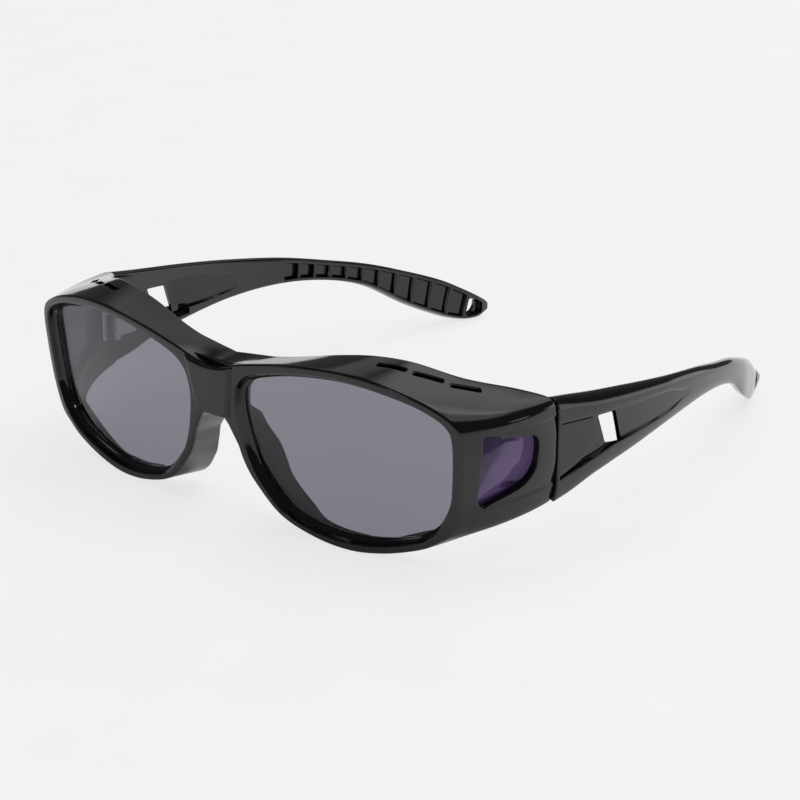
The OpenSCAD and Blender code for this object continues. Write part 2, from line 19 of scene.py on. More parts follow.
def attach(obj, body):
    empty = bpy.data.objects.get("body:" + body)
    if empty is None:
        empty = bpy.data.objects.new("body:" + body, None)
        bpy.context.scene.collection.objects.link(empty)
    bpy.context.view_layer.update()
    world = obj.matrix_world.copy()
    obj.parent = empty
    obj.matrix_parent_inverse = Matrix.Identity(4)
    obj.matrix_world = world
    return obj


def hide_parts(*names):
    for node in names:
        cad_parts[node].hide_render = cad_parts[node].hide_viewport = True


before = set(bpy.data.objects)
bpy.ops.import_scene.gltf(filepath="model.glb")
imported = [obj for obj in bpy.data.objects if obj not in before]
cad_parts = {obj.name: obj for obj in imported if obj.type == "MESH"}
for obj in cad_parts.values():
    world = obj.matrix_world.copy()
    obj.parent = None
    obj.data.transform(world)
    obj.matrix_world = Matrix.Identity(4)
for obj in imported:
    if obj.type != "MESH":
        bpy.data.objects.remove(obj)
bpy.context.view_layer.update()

MM = 0.001
# Vertices of one mesh that are closer than this, in millimetres, are merged.
MERGE = 1e-4
# Turns a frame so that its X points up, its Y across and its Z back.
UPRIGHT = Matrix(((0, 1, 0, 0), (0, 0, 1, 0), (1, 0, 0, 0), (0, 0, 0, 1)))
# What a table or an outline may hold at each of its places.
Value = float | Vector
log = logging.getLogger("sunglasses")


class Side(Enum):
    """The two sides of the face, with the sign of X on each."""

    LEFT = 1
    RIGHT = -1

    @property
    def word(self) -> str:
        """The side's name, as the CAD nodes and bodies use it."""
        return self.name.lower()


# Curves and tables

def blend4(a: Value, b: Value, c: Value, d: Value, t: float) -> Value:
    """Smooth value between b and c of four neighbouring values.

    Args:
        a, b, c, d: neighbouring numbers or vectors.
        t: share of the way from b to c.

    Returns:
        The number or vector at t.
    """
    return 0.5 * (2 * b + (c - a) * t + (2 * a - 5 * b + 4 * c - d) * t * t
                  + (3 * b - a - 3 * c + d) * t ** 3)


def on_loop(points: list, s: float) -> Value:
    """Point at station s of a closed smooth curve.

    Args:
        points: numbers or vectors, one per station.
        s: station, whole numbers falling on the points.

    Returns:
        The number or vector at s.
    """
    n, i = len(points), math.floor(s)
    return blend4(points[(i - 1) % n], points[i % n], points[(i + 1) % n],
                  points[(i + 2) % n], s - i)


def on_chain(points: list, s: float) -> Value:
    """Point at station s of a closed chain of straight lines.

    Args:
        points: numbers or vectors, one per station.
        s: station, whole numbers falling on the points.

    Returns:
        The number or vector at s.
    """
    n, i = len(points), math.floor(s)
    return points[i % n] * (1 - s + i) + points[(i + 1) % n] * (s - i)


def on_table(table: tuple, v: float) -> float:
    """Smooth value at v of a table of pairs.

    Args:
        table: pairs of place and value, in rising order of place.
        v: place at which the value is wanted.

    Returns:
        The value, which stays level past either end.
    """
    def slope(i: int) -> float:
        """Slope of the table at entry i."""
        a, b = max(i - 1, 0), min(i + 1, len(table) - 1)
        return (table[b][1] - table[a][1]) / (table[b][0] - table[a][0])

    i = 0
    while i < len(table) - 2 and table[i + 1][0] <= v:
        i += 1
    w = table[i + 1][0] - table[i][0]
    t = min(max((v - table[i][0]) / w, 0), 1)
    return (table[i][1] * (1 + 2 * t) * (1 - t) ** 2 + slope(i) * w * t * (1 - t) ** 2
            + table[i + 1][1] * t * t * (3 - 2 * t) + slope(i + 1) * w * t * t * (t - 1))


def ramp(low: float, high: float, value: float) -> float:
    """Smooth step.

    Args:
        low, high: where the step starts and ends.
        value: place at which the step is wanted.

    Returns:
        0 up to low, 1 from high on, and a smooth share between.
    """
    t = min(max((value - low) / (high - low), 0), 1)
    return t * t * (3 - 2 * t)


def rounded(corners: list, segments: int = 4) -> list:
    """Rounds the corners of a closed ring and splits its long edges.

    Args:
        corners: for each corner its vector, the length that its rounding takes from each edge,
            and, where the edge after it is long, the number of parts to split that edge into.
        segments: number of steps round each corner whose length is over zero.

    Returns:
        The ring's points, as many for every ring that has the same corners rounded.
    """
    arcs = []
    n = len(corners)
    for i, (p, cut, *_) in enumerate(corners):
        if cut == 0:
            arcs.append([p])
            continue
        before, after = corners[i - 1][0] - p, corners[(i + 1) % n][0] - p
        a = p + before * min(cut / max(before.length, 1e-6), 0.45)
        b = p + after * min(cut / max(after.length, 1e-6), 0.45)
        steps = [k / segments for k in range(segments + 1)]
        arcs.append([a * (1 - t) ** 2 + p * (2 * t * (1 - t)) + b * t * t for t in steps])
    ring = []
    for i, arc in enumerate(arcs):
        parts = corners[i][2] if len(corners[i]) > 2 else 1
        ring += arc + [arc[-1].lerp(arcs[(i + 1) % n][0], k / parts) for k in range(1, parts)]
    return ring


def even(ring: list, pitch: float) -> list:
    """Splits the long edges of an outline.

    Args:
        ring: the outline's points.
        pitch: length that no step is much over.

    Returns:
        The old points with new ones between them.
    """
    points = []
    for a, b in zip(ring, ring[1:] + ring[:1]):
        steps = max(1, round((b - a).length / pitch))
        points += [a.lerp(b, k / steps) for k in range(steps)]
    return points


def grown(outline: list, margin: float) -> list:
    """Grows an anticlockwise outline.

    Args:
        outline: the outline's points.
        margin: how far each point moves outwards.

    Returns:
        The moved points.
    """
    n = len(outline)
    moved = []
    for i, p in enumerate(outline):
        along = (outline[(i + 1) % n] - outline[i - 1]).normalized()
        moved.append(p + Vector((along.y, -along.x)) * margin)
    return moved


# Mesh work

def add_ring(bm: bmesh.types.BMesh, points: list) -> tuple:
    """Adds a closed ring of edges.

    Args:
        bm: mesh under construction.
        points: the ring's points in order.

    Returns:
        The ring's vertices and its edges.
    """
    verts = [bm.verts.new(p) for p in points]
    edges = [bm.edges.new((v, verts[(i + 1) % len(verts)])) for i, v in enumerate(verts)]
    return verts, edges


def loft(bm: bmesh.types.BMesh, verts: list, edges: list, rings: list) -> tuple:
    """Extrudes a ring of edges through the places of other rings.

    Args:
        bm: mesh under construction.
        verts: the starting ring's vertices in order.
        edges: the starting ring's edges.
        rings: lists of points, each as long as the starting ring.

    Returns:
        The last ring's vertices in order and its edges.
    """
    for ring in rings:
        place = {v: i for i, v in enumerate(verts)}
        made = bmesh.ops.extrude_edge_only(bm, edges=edges)["geom"]
        fresh = [None] * len(verts)
        for v in (g for g in made if isinstance(g, bmesh.types.BMVert)):
            i = next(place[o] for o in (e.other_vert(v) for e in v.link_edges) if o in place)
            fresh[i] = v
            v.co = ring[i]
        verts = fresh
        edges = [bm.edges.get((v, verts[(i + 1) % len(verts)])) for i, v in enumerate(verts)]
    return verts, edges


def tube(bm: bmesh.types.BMesh, rings: list) -> None:
    """Lofts through rings and closes both ends.

    Args:
        bm: mesh under construction.
        rings: lists of points, all of one length.
    """
    verts, edges = add_ring(bm, rings[0])
    _, far = loft(bm, verts, edges, rings[1:])
    bmesh.ops.holes_fill(bm, edges=edges + far, sides=0)


def pierce(bm: bmesh.types.BMesh, place: Matrix, outline: list, outer: list | tuple,
           inner: list | tuple, reach: float, margin: float = 0.3) -> None:
    """Cuts a hole with rounded edges through a wall.

    Args:
        bm: closed mesh under construction.
        place: the hole's own frame, X out of the wall.
        outline: anticlockwise dense outline of the hole in its Y and Z.
        outer: pairs of growth and depth under the outer skin, from the skin inwards.
        inner: the same for the inner skin, from that skin outwards.
        reach: distance from the frame's origin at which both skins are looked for.
        margin: how far round the widest growth the old faces are taken out.
    """
    bm.normal_update()
    tree = BVHTree.FromBMesh(bm)
    back = place.inverted()
    out = (place.to_3x3() @ Vector((1, 0, 0))).normalized()

    def inside(p: Vector, poly: list) -> bool:
        """Whether a flat point lies inside a polygon."""
        hit = False
        for a, b in zip(poly, poly[1:] + poly[:1]):
            if (a.y > p.y) != (b.y > p.y) and p.x < a.x + (b.x - a.x) * (p.y - a.y) / (b.y - a.y):
                hit = not hit
        return hit

    def on_skin(side: int, growth: float, depth: float) -> list:
        """The grown outline on the outer (1) or inner (-1) skin, sunk by a depth."""
        return [tree.ray_cast(place @ Vector((side * reach, p.x, p.y)), -side * out)[0]
                - side * depth * out for p in grown(outline, growth)]

    def doomed(side: int, growth: float) -> list:
        """Old faces of one skin that the hole and its rounding take out.

        Args:
            side: 1 for the outer skin and -1 for the inner one.
            growth: the hole's widest growth on that skin.

        Returns:
            The faces.
        """
        hole = grown(outline, growth + margin)
        found = []
        for f in bm.faces:
            local = back @ f.calc_center_median()
            spots = [local] + [back @ v.co for v in f.verts]
            faces_out = side * f.normal.dot(out) > 0.2
            if abs(local.x) < reach and faces_out and any(inside(q.yz, hole) for q in spots):
                found.append(f)
        return found

    rims = []
    jobs = [(1, outer, doomed(1, outer[0][0])), (-1, inner, doomed(-1, inner[0][0]))]
    for side, levels, faces in jobs:
        known = {e for _, ring_edges in rims for e in ring_edges}
        bmesh.ops.delete(bm, geom=faces, context="FACES")
        torn = [e for e in bm.edges if e.is_boundary and e not in known]
        verts, edges = add_ring(bm, on_skin(side, *levels[0]))
        bmesh.ops.triangle_fill(bm, use_beauty=True, use_dissolve=False, edges=torn + edges,
                                normal=side * out)
        rims.append((verts, edges))
    end = [v.co.copy() for v in rims[1][0]]
    loft(bm, *rims[0], [on_skin(1, *level) for level in outer[1:]]
         + [on_skin(-1, *level) for level in reversed(inner[1:])] + [end])
    bmesh.ops.remove_doubles(bm, verts=bm.verts, dist=MERGE)


def finish(bm: bmesh.types.BMesh, name: str, crease: float = 40) -> bpy.types.Object:
    """Turns a mesh in millimetres into a piece in metres at the origin.

    Args:
        bm: mesh in millimetres, which is freed.
        name: name of the new piece.
        crease: angle in degrees over which an edge stays sharp.

    Returns:
        The new object, linked to the scene.
    """
    bmesh.ops.recalc_face_normals(bm, faces=bm.faces)
    bmesh.ops.scale(bm, vec=(MM, MM, MM), verts=bm.verts)
    mesh = bpy.data.meshes.new(name)
    bm.to_mesh(mesh)
    bm.free()
    mesh.shade_smooth()
    mesh.set_sharp_from_angle(angle=math.radians(crease))
    piece = bpy.data.objects.new(name, mesh)
    bpy.context.scene.collection.objects.link(piece)
    return piece


def carved(bm: bmesh.types.BMesh, cutters: list) -> bmesh.types.BMesh:
    """Cuts closed shapes out of a closed mesh.

    Args:
        bm: closed mesh in millimetres, which is freed.
        cutters: closed objects, which are removed.

    Returns:
        The new mesh in millimetres.
    """
    piece = finish(bm, "blank")
    for cutter in cutters:
        cut = piece.modifiers.new("cut", "BOOLEAN")
        cut.object = cutter
        cut.operation = "DIFFERENCE"
        cut.solver = "EXACT"
    bpy.context.view_layer.update()
    shaped = piece.evaluated_get(bpy.context.evaluated_depsgraph_get())
    bm = bmesh.new()
    bm.from_mesh(shaped.data)
    bmesh.ops.scale(bm, vec=(1 / MM, 1 / MM, 1 / MM), verts=bm.verts)
    for old in [piece] + cutters:
        bpy.data.objects.remove(old)
    return bm


def prism(outline: list | tuple, place: Matrix, low: float,
          high: float) -> bpy.types.Object:
    """Closed prism used as a cutter.

    Args:
        outline: points in the frame's Y and Z.
        place: the frame, in millimetres.
        low, high: where the prism starts and ends along the frame's X.

    Returns:
        The cutter object.
    """
    bm = bmesh.new()
    tube(bm, [[place @ Vector((x, p[0], p[1])) for p in outline] for x in (low, high)])
    return finish(bm, "cutter")


# Materials

def linear(hex_colour: str) -> tuple:
    """Linear RGBA of an sRGB hex colour.

    Args:
        hex_colour: text such as "#1a1a1c".

    Returns:
        Four numbers from 0 to 1.
    """
    parts = [int(hex_colour[i:i + 2], 16) / 255 for i in (1, 3, 5)]
    return tuple(c / 12.92 if c <= 0.04045 else ((c + 0.055) / 1.055) ** 2.4
                 for c in parts) + (1.0,)


def add_node(tree: bpy.types.NodeTree, kind: str, values: dict | None = None,
             links: dict | None = None, **settings) -> bpy.types.Node:
    """Adds one node with its settings, socket values and links.

    Args:
        tree: node tree to add to.
        kind: node type without the ShaderNode prefix.
        values: socket name or number to value.
        links: socket name or number to the output that feeds it.
        **settings: properties of the node.

    Returns:
        The new node.
    """
    node = tree.nodes.new("ShaderNode" + kind)
    for name, value in settings.items():
        setattr(node, name, value)
    for key, value in (values or {}).items():
        node.inputs[key].default_value = value
    for key, source in (links or {}).items():
        tree.links.new(source, node.inputs[key])
    return node


def new_material(name: str) -> tuple:
    """Empty material with its output node.

    Args:
        name: the material's name.

    Returns:
        The material, its node tree and its output node.
    """
    material = bpy.data.materials.new(name)
    material.use_nodes = True
    tree = material.node_tree
    tree.nodes.clear()
    return material, tree, add_node(tree, "OutputMaterial")


@dataclass(frozen=True)
class GlossMoulding:
    """Injection-moulded polycarbonate, mould-polished.

    The polished mould leaves a deep black with clear reflections, which waver a little where
    the wall cooled, and a faint haze of handling in its roughness.
    """

    name: str = "polycarbonate_black_mould_polished"
    colour: str = "#060607"
    haze_colour: str = "#0b0b0c"
    roughness: float = 0.07
    haze: float = 0.05
    ior: float = 1.585
    sink_mm: float = 7.0
    haze_mm: float = 2.5

    def build(self) -> bpy.types.Material:
        """Builds the material."""
        material, tree, out = new_material(self.name)
        place = add_node(tree, "TexCoord").outputs["Object"]
        sink = add_node(tree, "TexNoise", {"Scale": 1 / (self.sink_mm * MM), "Detail": 1.0},
                        {"Vector": place})
        haze = add_node(tree, "TexNoise", {"Scale": 1 / (self.haze_mm * MM), "Detail": 3.0},
                        {"Vector": place})
        rough = add_node(tree, "MapRange", {"From Min": 0.35, "From Max": 0.75,
                         "To Min": self.roughness, "To Max": self.roughness + self.haze},
                         {"Value": haze.outputs["Fac"]})
        tint = add_node(tree, "Mix", {6: linear(self.colour), 7: linear(self.haze_colour)},
                        {0: haze.outputs["Fac"]}, data_type="RGBA")
        bump = add_node(tree, "Bump", {"Strength": 0.02, "Distance": 0.1 * MM},
                        {"Height": sink.outputs["Fac"]})
        shader = add_node(tree, "BsdfPrincipled", {"IOR": self.ior},
                          {"Base Color": tint.outputs[2], "Roughness": rough.outputs["Result"],
                           "Normal": bump.outputs["Normal"]})
        tree.links.new(shader.outputs[0], out.inputs["Surface"])
        return material


@dataclass(frozen=True)
class TintedSheet:
    """Moulded optical polycarbonate, dyed through and polished.

    The dye darkens what is seen through the sheet, and the polish leaves a faint clear
    reflection. Fine wiping marks scatter a little light.
    """

    name: str
    colour: str
    clear: float = 1.0
    ior: float = 1.5
    wipe_mm: float = 0.6

    def build(self) -> bpy.types.Material:
        """Builds the material."""
        material, tree, out = new_material(self.name)
        place = add_node(tree, "TexCoord").outputs["Object"]
        wipe = add_node(tree, "TexNoise", {"Scale": 1 / (self.wipe_mm * MM), "Detail": 2.0},
                        {"Vector": place})
        rough = add_node(tree, "MapRange", {"From Min": 0.45, "From Max": 0.8,
                         "To Min": 0.0, "To Max": 0.03}, {"Value": wipe.outputs["Fac"]})
        shader = add_node(tree, "BsdfPrincipled",
                          {"Base Color": linear(self.colour), "IOR": self.ior,
                           "Transmission Weight": self.clear},
                          {"Roughness": rough.outputs["Result"]})
        tree.links.new(shader.outputs[0], out.inputs["Surface"])
        return material


@dataclass(frozen=True)
class HingeSteel:
    """Stainless steel, stamped and barrel-polished.

    The tumbling leaves a soft sheen with short random scratches.
    """

    name: str = "stainless_steel_barrel_polished"
    colour: str = "#c9cbce"
    scratch_mm: float = 0.25

    def build(self) -> bpy.types.Material:
        """Builds the material."""
        material, tree, out = new_material(self.name)
        place = add_node(tree, "TexCoord").outputs["Object"]
        grain = add_node(tree, "TexNoise", {"Scale": 1 / (self.scratch_mm * MM), "Detail": 4.0},
                         {"Vector": place})
        rough = add_node(tree, "MapRange", {"From Min": 0.3, "From Max": 0.7, "To Min": 0.2,
                         "To Max": 0.42}, {"Value": grain.outputs["Fac"]})
        shader = add_node(tree, "BsdfPrincipled",
                          {"Base Color": linear(self.colour), "Metallic": 1.0},
                          {"Roughness": rough.outputs["Result"]})
        tree.links.new(shader.outputs[0], out.inputs["Surface"])
        return material


def dress(piece: bpy.types.Object, material: bpy.types.Material, slot: str, body: str,
          *nodes: str) -> None:
    """Gives a finished piece its material, its body and the CAD nodes it stands for.

    Args:
        piece: finished object.
        material: its material.
        slot: the record's material slot, which is not used.
        body: CAD body it moves with.
        *nodes: CAD nodes that it replaces.
    """
    piece.data.materials.clear()
    piece.data.materials.append(material)
    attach(piece, body)
    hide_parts(*nodes)
    log.info("%s: %d faces, on %s, for %s", piece.name, len(piece.data.polygons), body,
             ", ".join(nodes))


# Front

@dataclass(frozen=True)
class Crease:
    """A soft crease along the side wall, whose height changes with the distance from the seam."""

    height: float
    rise: float
    soft: float

    def over(self, z: float, ahead: float) -> float:
        """Share from 0 to 1 by which height z is over the crease, ahead of the seam."""
        level = self.height + self.rise * ahead
        return ramp(level - self.soft, level + self.soft, z)


@dataclass
class FrontMoulding:
    """The moulded front: rims, brow shelf, side walls, nose flanges and bridge block."""

    overall_depth: float = 168.4
    half_span: float = 75.0
    hinge_setback: float = 38.9
    seam_gap: float = 0.3
    lens_w: float = 58.4
    lens_h: float = 42.1
    lens_gap: float = 14.7
    lens_floor: float = 1.9
    wrap_r: float = 236.0
    lean: float = math.radians(6.9)
    rim_top: float = 1.8
    rim_side: float = 2.1
    rim_bottom: float = 1.9
    rim_nose: float = 2.1
    rim_depth: float = 4.8
    shell_wall: float = 2.0
    side_wall: float = 3.8
    brow_depth: float = 11.0
    flange_depth: float = 12.0
    lip_depth: float = 6.0
    bridge_top: float = 39.4
    bridge_low: float = 26.6
    bridge_proud: float = 0.9
    bridge_half: float = 4.4
    bridge_core: float = 3.6
    block_low: float = 4.5
    block_high: float = 7.0
    block_flank: float = 1.1
    seam_top: float = 38.4
    seam_low: float = 12.6
    lens_t: float = 1.2
    lens_set: float = 2.4
    lens_bite: float = 1.3
    lip_in: float = 1.4
    seat_gap: float = 0.05
    edge_round: float = 0.7
    seam_round: float = 0.3
    reveal_in: float = 0.7
    reveal_back: float = 1.7
    side_bulge: float = 3.9
    high_crease: Crease = Crease(height=34.3, rise=0.03, soft=0.5)
    low_crease: Crease = Crease(height=17.8, rise=-0.09, soft=0.35)
    panel_sunk: float = 0.35
    panel_fade: tuple = (20, 27)
    pane_t: float = 1.0
    pane_lap: float = 0.9
    pane_set: float = 0.6
    window_in: float = 0.75
    window_back: float = 6.2
    window_len: float = 16.0
    window_top: float = 34.1
    window_h: float = 16.6
    window_turn: float = 17.5
    vent_len: float = 7.0
    vent_w: float = 1.7
    vent_at: tuple = ((4.77, 4.8), (5.57, 5.0), (6.3, 5.9))
    barrel_r: float = 1.6
    barrel_h: float = 9.0
    barrel_z: float = 25.2
    barrel_under: float = 0.6
    barrel_over: float = 2.4
    knuckle_play: float = 0.25
    front_leaf_len: float = 3.6
    leaf_sunk: float = 0.7
    leaf_room: float = 4.0
    pad_t: float = 2.4
    pad_ahead: float = 1.1
    pad_over: float = 2.0
    temple_root_t: float = 4.0
    opening: list = field(default_factory=list)
    outer: list = field(default_factory=list)
    rear_edge: list = field(default_factory=list)
    bulge: list = field(default_factory=list)
    core_step: list = field(default_factory=list)

    # Round edges of the holes: pairs of growth and depth, from the skin inwards.
    window_edge = ((0.75, 0), (0.35, 0), (0.17, 0.05), (0.05, 0.17), (0, 0.35))
    window_inside = ((0.3, 0), (0.12, 0), (0.03, 0.05), (0, 0.15))
    vent_edge = ((0.5, 0), (0.2, 0), (0.1, 0.03), (0.03, 0.1), (0, 0.2))
    # Round ends of the bridge block: how far each ring drops, narrows and sinks.
    block_foot = ((-0.2, 0.5, 0.4), (-0.35, 0.3, 0.12), (-0.7, 0.1, 0), (-0.9, 0, 0))
    block_head = ((0.8, 0, 0), (0.3, 0, 0.12), (0.1, 0.1, 0.35), (0.03, 0.2, 0.7),
                  (0.06, 0.4, 1.4))
    # Stations of the side wall at the seam, and the first one under the bridge.
    first_wall, last_wall, first_bridge = 9, 13, 23
    # Lens opening from the bridge's top by way of the temple side, in shares of its size.
    shape = (
        (0.022, 0.82), (0.082, 0.893), (0.23, 0.955), (0.385, 0.99), (0.535, 1.0), (0.68, 0.98),
        (0.835, 0.934), (0.94, 0.873), (0.987, 0.815), (1.0, 0.745), (0.998, 0.62),
        (0.99, 0.485), (0.975, 0.343), (0.933, 0.215), (0.882, 0.143), (0.815, 0.087),
        (0.668, 0.026), (0.515, 0.0), (0.355, 0.018), (0.2, 0.094), (0.092, 0.255),
        (0.05, 0.363), (0.027, 0.456), (0.01, 0.565), (0.004, 0.62), (0.0, 0.68), (0.005, 0.75))

    def __post_init__(self) -> None:
        """Works out the outline tables from the sizes."""
        self.stations = len(self.shape)
        self.front_y = -self.overall_depth / 2
        self.seam_y = self.front_y + self.hinge_setback
        self.front_end = self.hinge_setback - self.seam_gap / 2
        self.inner_x = self.half_span - self.temple_root_t
        self.barrel_x = self.inner_x + self.leaf_sunk - self.barrel_r
        self.opening = [Vector((self.lens_gap / 2 + self.lens_w * a,
                                self.lens_floor + self.lens_h * b)) for a, b in self.shape]
        top, side, low, nose = self.rim_top, self.rim_side, self.rim_bottom, self.rim_nose
        rim = [0, 1.6 * top, 1.15 * top, top, top, 1.1 * top, top, top, side, side, side, side,
               0.95 * side, 1.15 * side, 0.95 * low, 0.9 * low, 0.95 * low, low, 0.8 * low,
               0.75 * low, 0.85 * nose, nose, nose]
        half, b_low, b_top = self.bridge_half, self.bridge_low, self.bridge_top
        bridge = [Vector((half, b_low - 1.4)), Vector((0.75 * half, b_low - 0.1)),
                  Vector((0, b_low)), Vector((0, (b_low + b_top) / 2))]
        self.outer = [Vector((0, b_top)) if i == 0 else bridge[i - self.first_bridge]
                      if i >= self.first_bridge
                      else self.opening[i] + rim[i] * self.opening_out(i)
                      for i in range(self.stations)]
        self.rear_edge = [Vector(p) for p in self.rear_points()]
        self.bulge = [b * self.side_bulge for b in
                      (0, 0, 0, 0, 0, 0.1, 0.4, 0.6, 0.9, 1, 1, 1, 1, 1, 0.7, 0.4)
                      + (0,) * (self.stations - 16)]
        self.core_step = [self.step_in(i) for i in range(self.stations)]

    def rear_points(self) -> list:
        """Rear edge of the moulding: across, distance behind the bridge's front, height."""
        def lip(i: int) -> tuple:
            """Rear edge of the low lip behind the rim at station i."""
            p = self.outer[i]
            return (p.x, self.face_y(p.x, p.y) - self.front_y + self.lip_depth,
                    p.y + math.tan(self.lean) * self.lip_depth)

        brow, b_top, b_low = self.brow_depth, self.bridge_top, self.bridge_low
        lens_top, half, end = self.lens_floor + self.lens_h, self.half_span, self.front_end
        top, low = self.seam_top, self.seam_low
        high, back, nose = top - low, self.hinge_setback, self.flange_depth
        return [
            (0, brow, b_top + 0.9), (11.6, brow + 0.9, b_top + 2.1),
            (20.2, brow + 2.2, b_top + 3.7), (29.6, brow + 4.2, lens_top + 1.2),
            (38.6, brow + 6.1, lens_top + 2.5), (47.6, brow + 8.6, lens_top + 2.4),
            (half - 17.4, brow + 14.8, top + 4.8), (half - 8.6, back - 3.8, top + 1.8),
            (half - 2, end, top), (half - 0.6, end, top - 0.12 * high),
            (half, end, low + 0.66 * high), (half, end, low + 0.44 * high),
            (half - 0.6, end, low + 0.22 * high), (half - 1.8, end, low + 0.02 * high),
            (half - 3.8, back - 8.8, low - 0.4), (half - 9.5, back - 17.4, low - 2.2),
            lip(16), lip(17), lip(18), (18.3, 5.4 + nose, 3.1), (12.6, 4.4 + nose, 9.0),
            (10.6, 3.7 + nose, 14.0), (9.0, 2.8 + nose, 18.5), (6.0, 1.9 + nose, b_low - 4.4),
            (3.2, 1.3 + nose, b_low - 2.1), (0, brow + 1.5, b_low - 1.2),
            (0, brow + 0.8, (b_low + b_top) / 2)]

    def step_in(self, i: int) -> Vector:
        """Step from the outer skin to the inner skin.

        Args:
            i: station of the outline.

        Returns:
            The step, across and up.
        """
        last = self.stations - 1
        wall, core = self.shell_wall, self.bridge_core
        special = {0: (core, -wall), last: (core, 0), last - 1: (core, wall),
                   last - 2: (0.9 * core, 0.8 * wall)}
        if i in special:
            return Vector(special[i])
        thick = self.side_wall if self.first_wall <= i <= self.last_wall else wall
        if i in (self.first_wall - 1, self.last_wall + 1):
            thick = (self.side_wall + wall) / 2
        out = self.outer_out(i)
        if self.last_wall <= i <= self.last_wall + 2:
            out = Vector((out.x, 0.5 * out.y)).normalized()
        return -thick * out

    def face_y(self, x: float, z: float) -> float:
        """Y of the front face of the rims at x and z."""
        along = math.sqrt(self.wrap_r ** 2 - x * x)
        leant = math.tan(self.lean) * (self.bridge_top - z)
        return self.front_y + self.bridge_proud + self.wrap_r - along + leant

    def opening_out(self, s: float) -> Vector:
        """Direction away from the lens at station s of the opening."""
        d = on_loop(self.opening, s + 0.1) - on_loop(self.opening, s - 0.1)
        return Vector((-d.y, d.x)).normalized()

    def outer_at(self, s: float) -> Vector:
        """Point of the moulding's outline, straight round the bridge and smooth elsewhere.

        Args:
            s: station.

        Returns:
            The point, across and up.
        """
        s %= self.stations
        i = math.floor(s)
        o = self.outer
        if i >= self.first_bridge - 1:
            return on_chain(o, s)
        if i == 0:
            return blend4(Vector((-o[1].x, o[1].y)), o[0], o[1], o[2], s)
        return on_loop(o, s)

    def outer_out(self, s: float) -> Vector:
        """Direction away from the moulding at its outline.

        Args:
            s: station.

        Returns:
            The direction, across and up, of length 1.
        """
        if s == 0:
            return Vector((0, 1))
        if s == self.first_bridge + 2:
            return Vector((0, -1))
        d = (self.outer_at(s + 0.1) - self.outer_at(s - 0.1)).normalized()
        return Vector((-d.y, d.x))

    def panel_relief(self, p: Vector) -> float:
        """Depth of the flat side panel between the two creases at a point of the wall."""
        ahead = self.seam_y - p.y
        across = self.low_crease.over(p.z, ahead) * (1 - self.high_crease.over(p.z, ahead))
        return self.panel_sunk * across * (1 - ramp(*self.panel_fade, ahead))

    def skirt(self, s: float, t: float, inside: bool) -> Vector:
        """Point of the wall between the rim and the rear edge.

        Args:
            s: station.
            t: share of the way from the outline to the rear edge.
            inside: True for the inner skin.

        Returns:
            The point.
        """
        o = self.outer_at(s)
        q = on_chain(self.core_step, s) if inside else Vector((0, 0))
        start = self.rim_depth if inside else 0.4
        a = Vector((o.x + q.x, self.face_y(o.x + q.x, o.y + q.y) + start, o.y + q.y))
        straight = s >= self.first_bridge - 1 or s < 1
        r = on_chain(self.rear_edge, s) if straight else on_loop(self.rear_edge, s)
        b = Vector((min(r.x, self.half_span) + q.x, self.front_y + min(r.y, self.front_end),
                    r.z + q.y))
        mid = (a + b) / 2 + Vector((on_chain(self.bulge, s), 0, 0))
        p = a * (1 - t) ** 2 + mid * (2 * t * (1 - t)) + b * t * t
        if not inside and self.first_wall - 1 < s < self.last_wall + 1.5:
            p.x -= self.panel_relief(p)
        return p

    def reveal(self, s: float, step: float, depth: float) -> Vector:
        """Point on the lens side, a step in from the opening and a depth behind the face."""
        p = on_loop(self.opening, s) - step * self.opening_out(s)
        return Vector((p.x, self.face_y(p.x, p.y) + depth, p.y))

    def brim(self, s: float) -> Vector:
        """Corner between the front face and the outer skin."""
        o = self.outer_at(s)
        return Vector((o.x, self.face_y(o.x, o.y), o.y))

    def section(self, s: float) -> list:
        """Section of the moulding: reveal, lens groove, inner skin, rear edge, outer skin.

        Args:
            s: station.

        Returns:
            One closed ring of points.
        """
        groove_in = self.lip_in - self.lens_bite
        groove_back = self.lens_set + self.lens_t + 2 * self.seat_gap
        seam = self.first_wall - 0.5 < s < self.last_wall + 0.5
        edge = self.seam_round if seam else self.edge_round
        inner = [k / 8 for k in range(8)]
        outer = [k / 14 for k in range(1, 14)]
        corners = [
            (self.reveal(s, 0, 0), 0.3),
            (self.reveal(s, self.reveal_in, self.reveal_back), 0.5),
            (self.reveal(s, self.lip_in, self.lens_set - 0.1), 0.25),
            (self.reveal(s, self.lip_in, self.lens_set), 0),
            (self.reveal(s, groove_in, self.lens_set), 0),
            (self.reveal(s, groove_in, groove_back), 0),
            (self.reveal(s, self.lip_in, groove_back), 0),
            (self.reveal(s, self.lip_in, self.rim_depth), 0.4)]
        corners += [(self.skirt(s, t, True), 0) for t in inner]
        corners += [(self.skirt(s, 1, True), edge), (self.skirt(s, 1, False), edge)]
        corners += [(self.skirt(s, t, False), 0) for t in reversed(outer)]
        corners += [(self.brim(s), self.edge_round)]
        return rounded(corners)

    def pitch(self) -> list:
        """Stations of the rings, closer together on the side wall."""
        places = []
        for i in range(self.stations):
            if i >= self.first_bridge:
                steps = 3
            elif self.first_wall - 1 <= i <= self.last_wall:
                steps = 16
            else:
                steps = 9
            places += [i + k / steps for k in range(steps)]
        return places + [self.stations]

    def window_frame(self) -> Matrix:
        """Frame of the side window: X out of the wall, Y back along it."""
        corner = (self.half_span - self.window_in, self.seam_y - self.window_back,
                  self.window_top)
        return (Matrix.Translation(corner)
                @ Matrix.Rotation(math.radians(-self.window_turn), 4, "Z"))

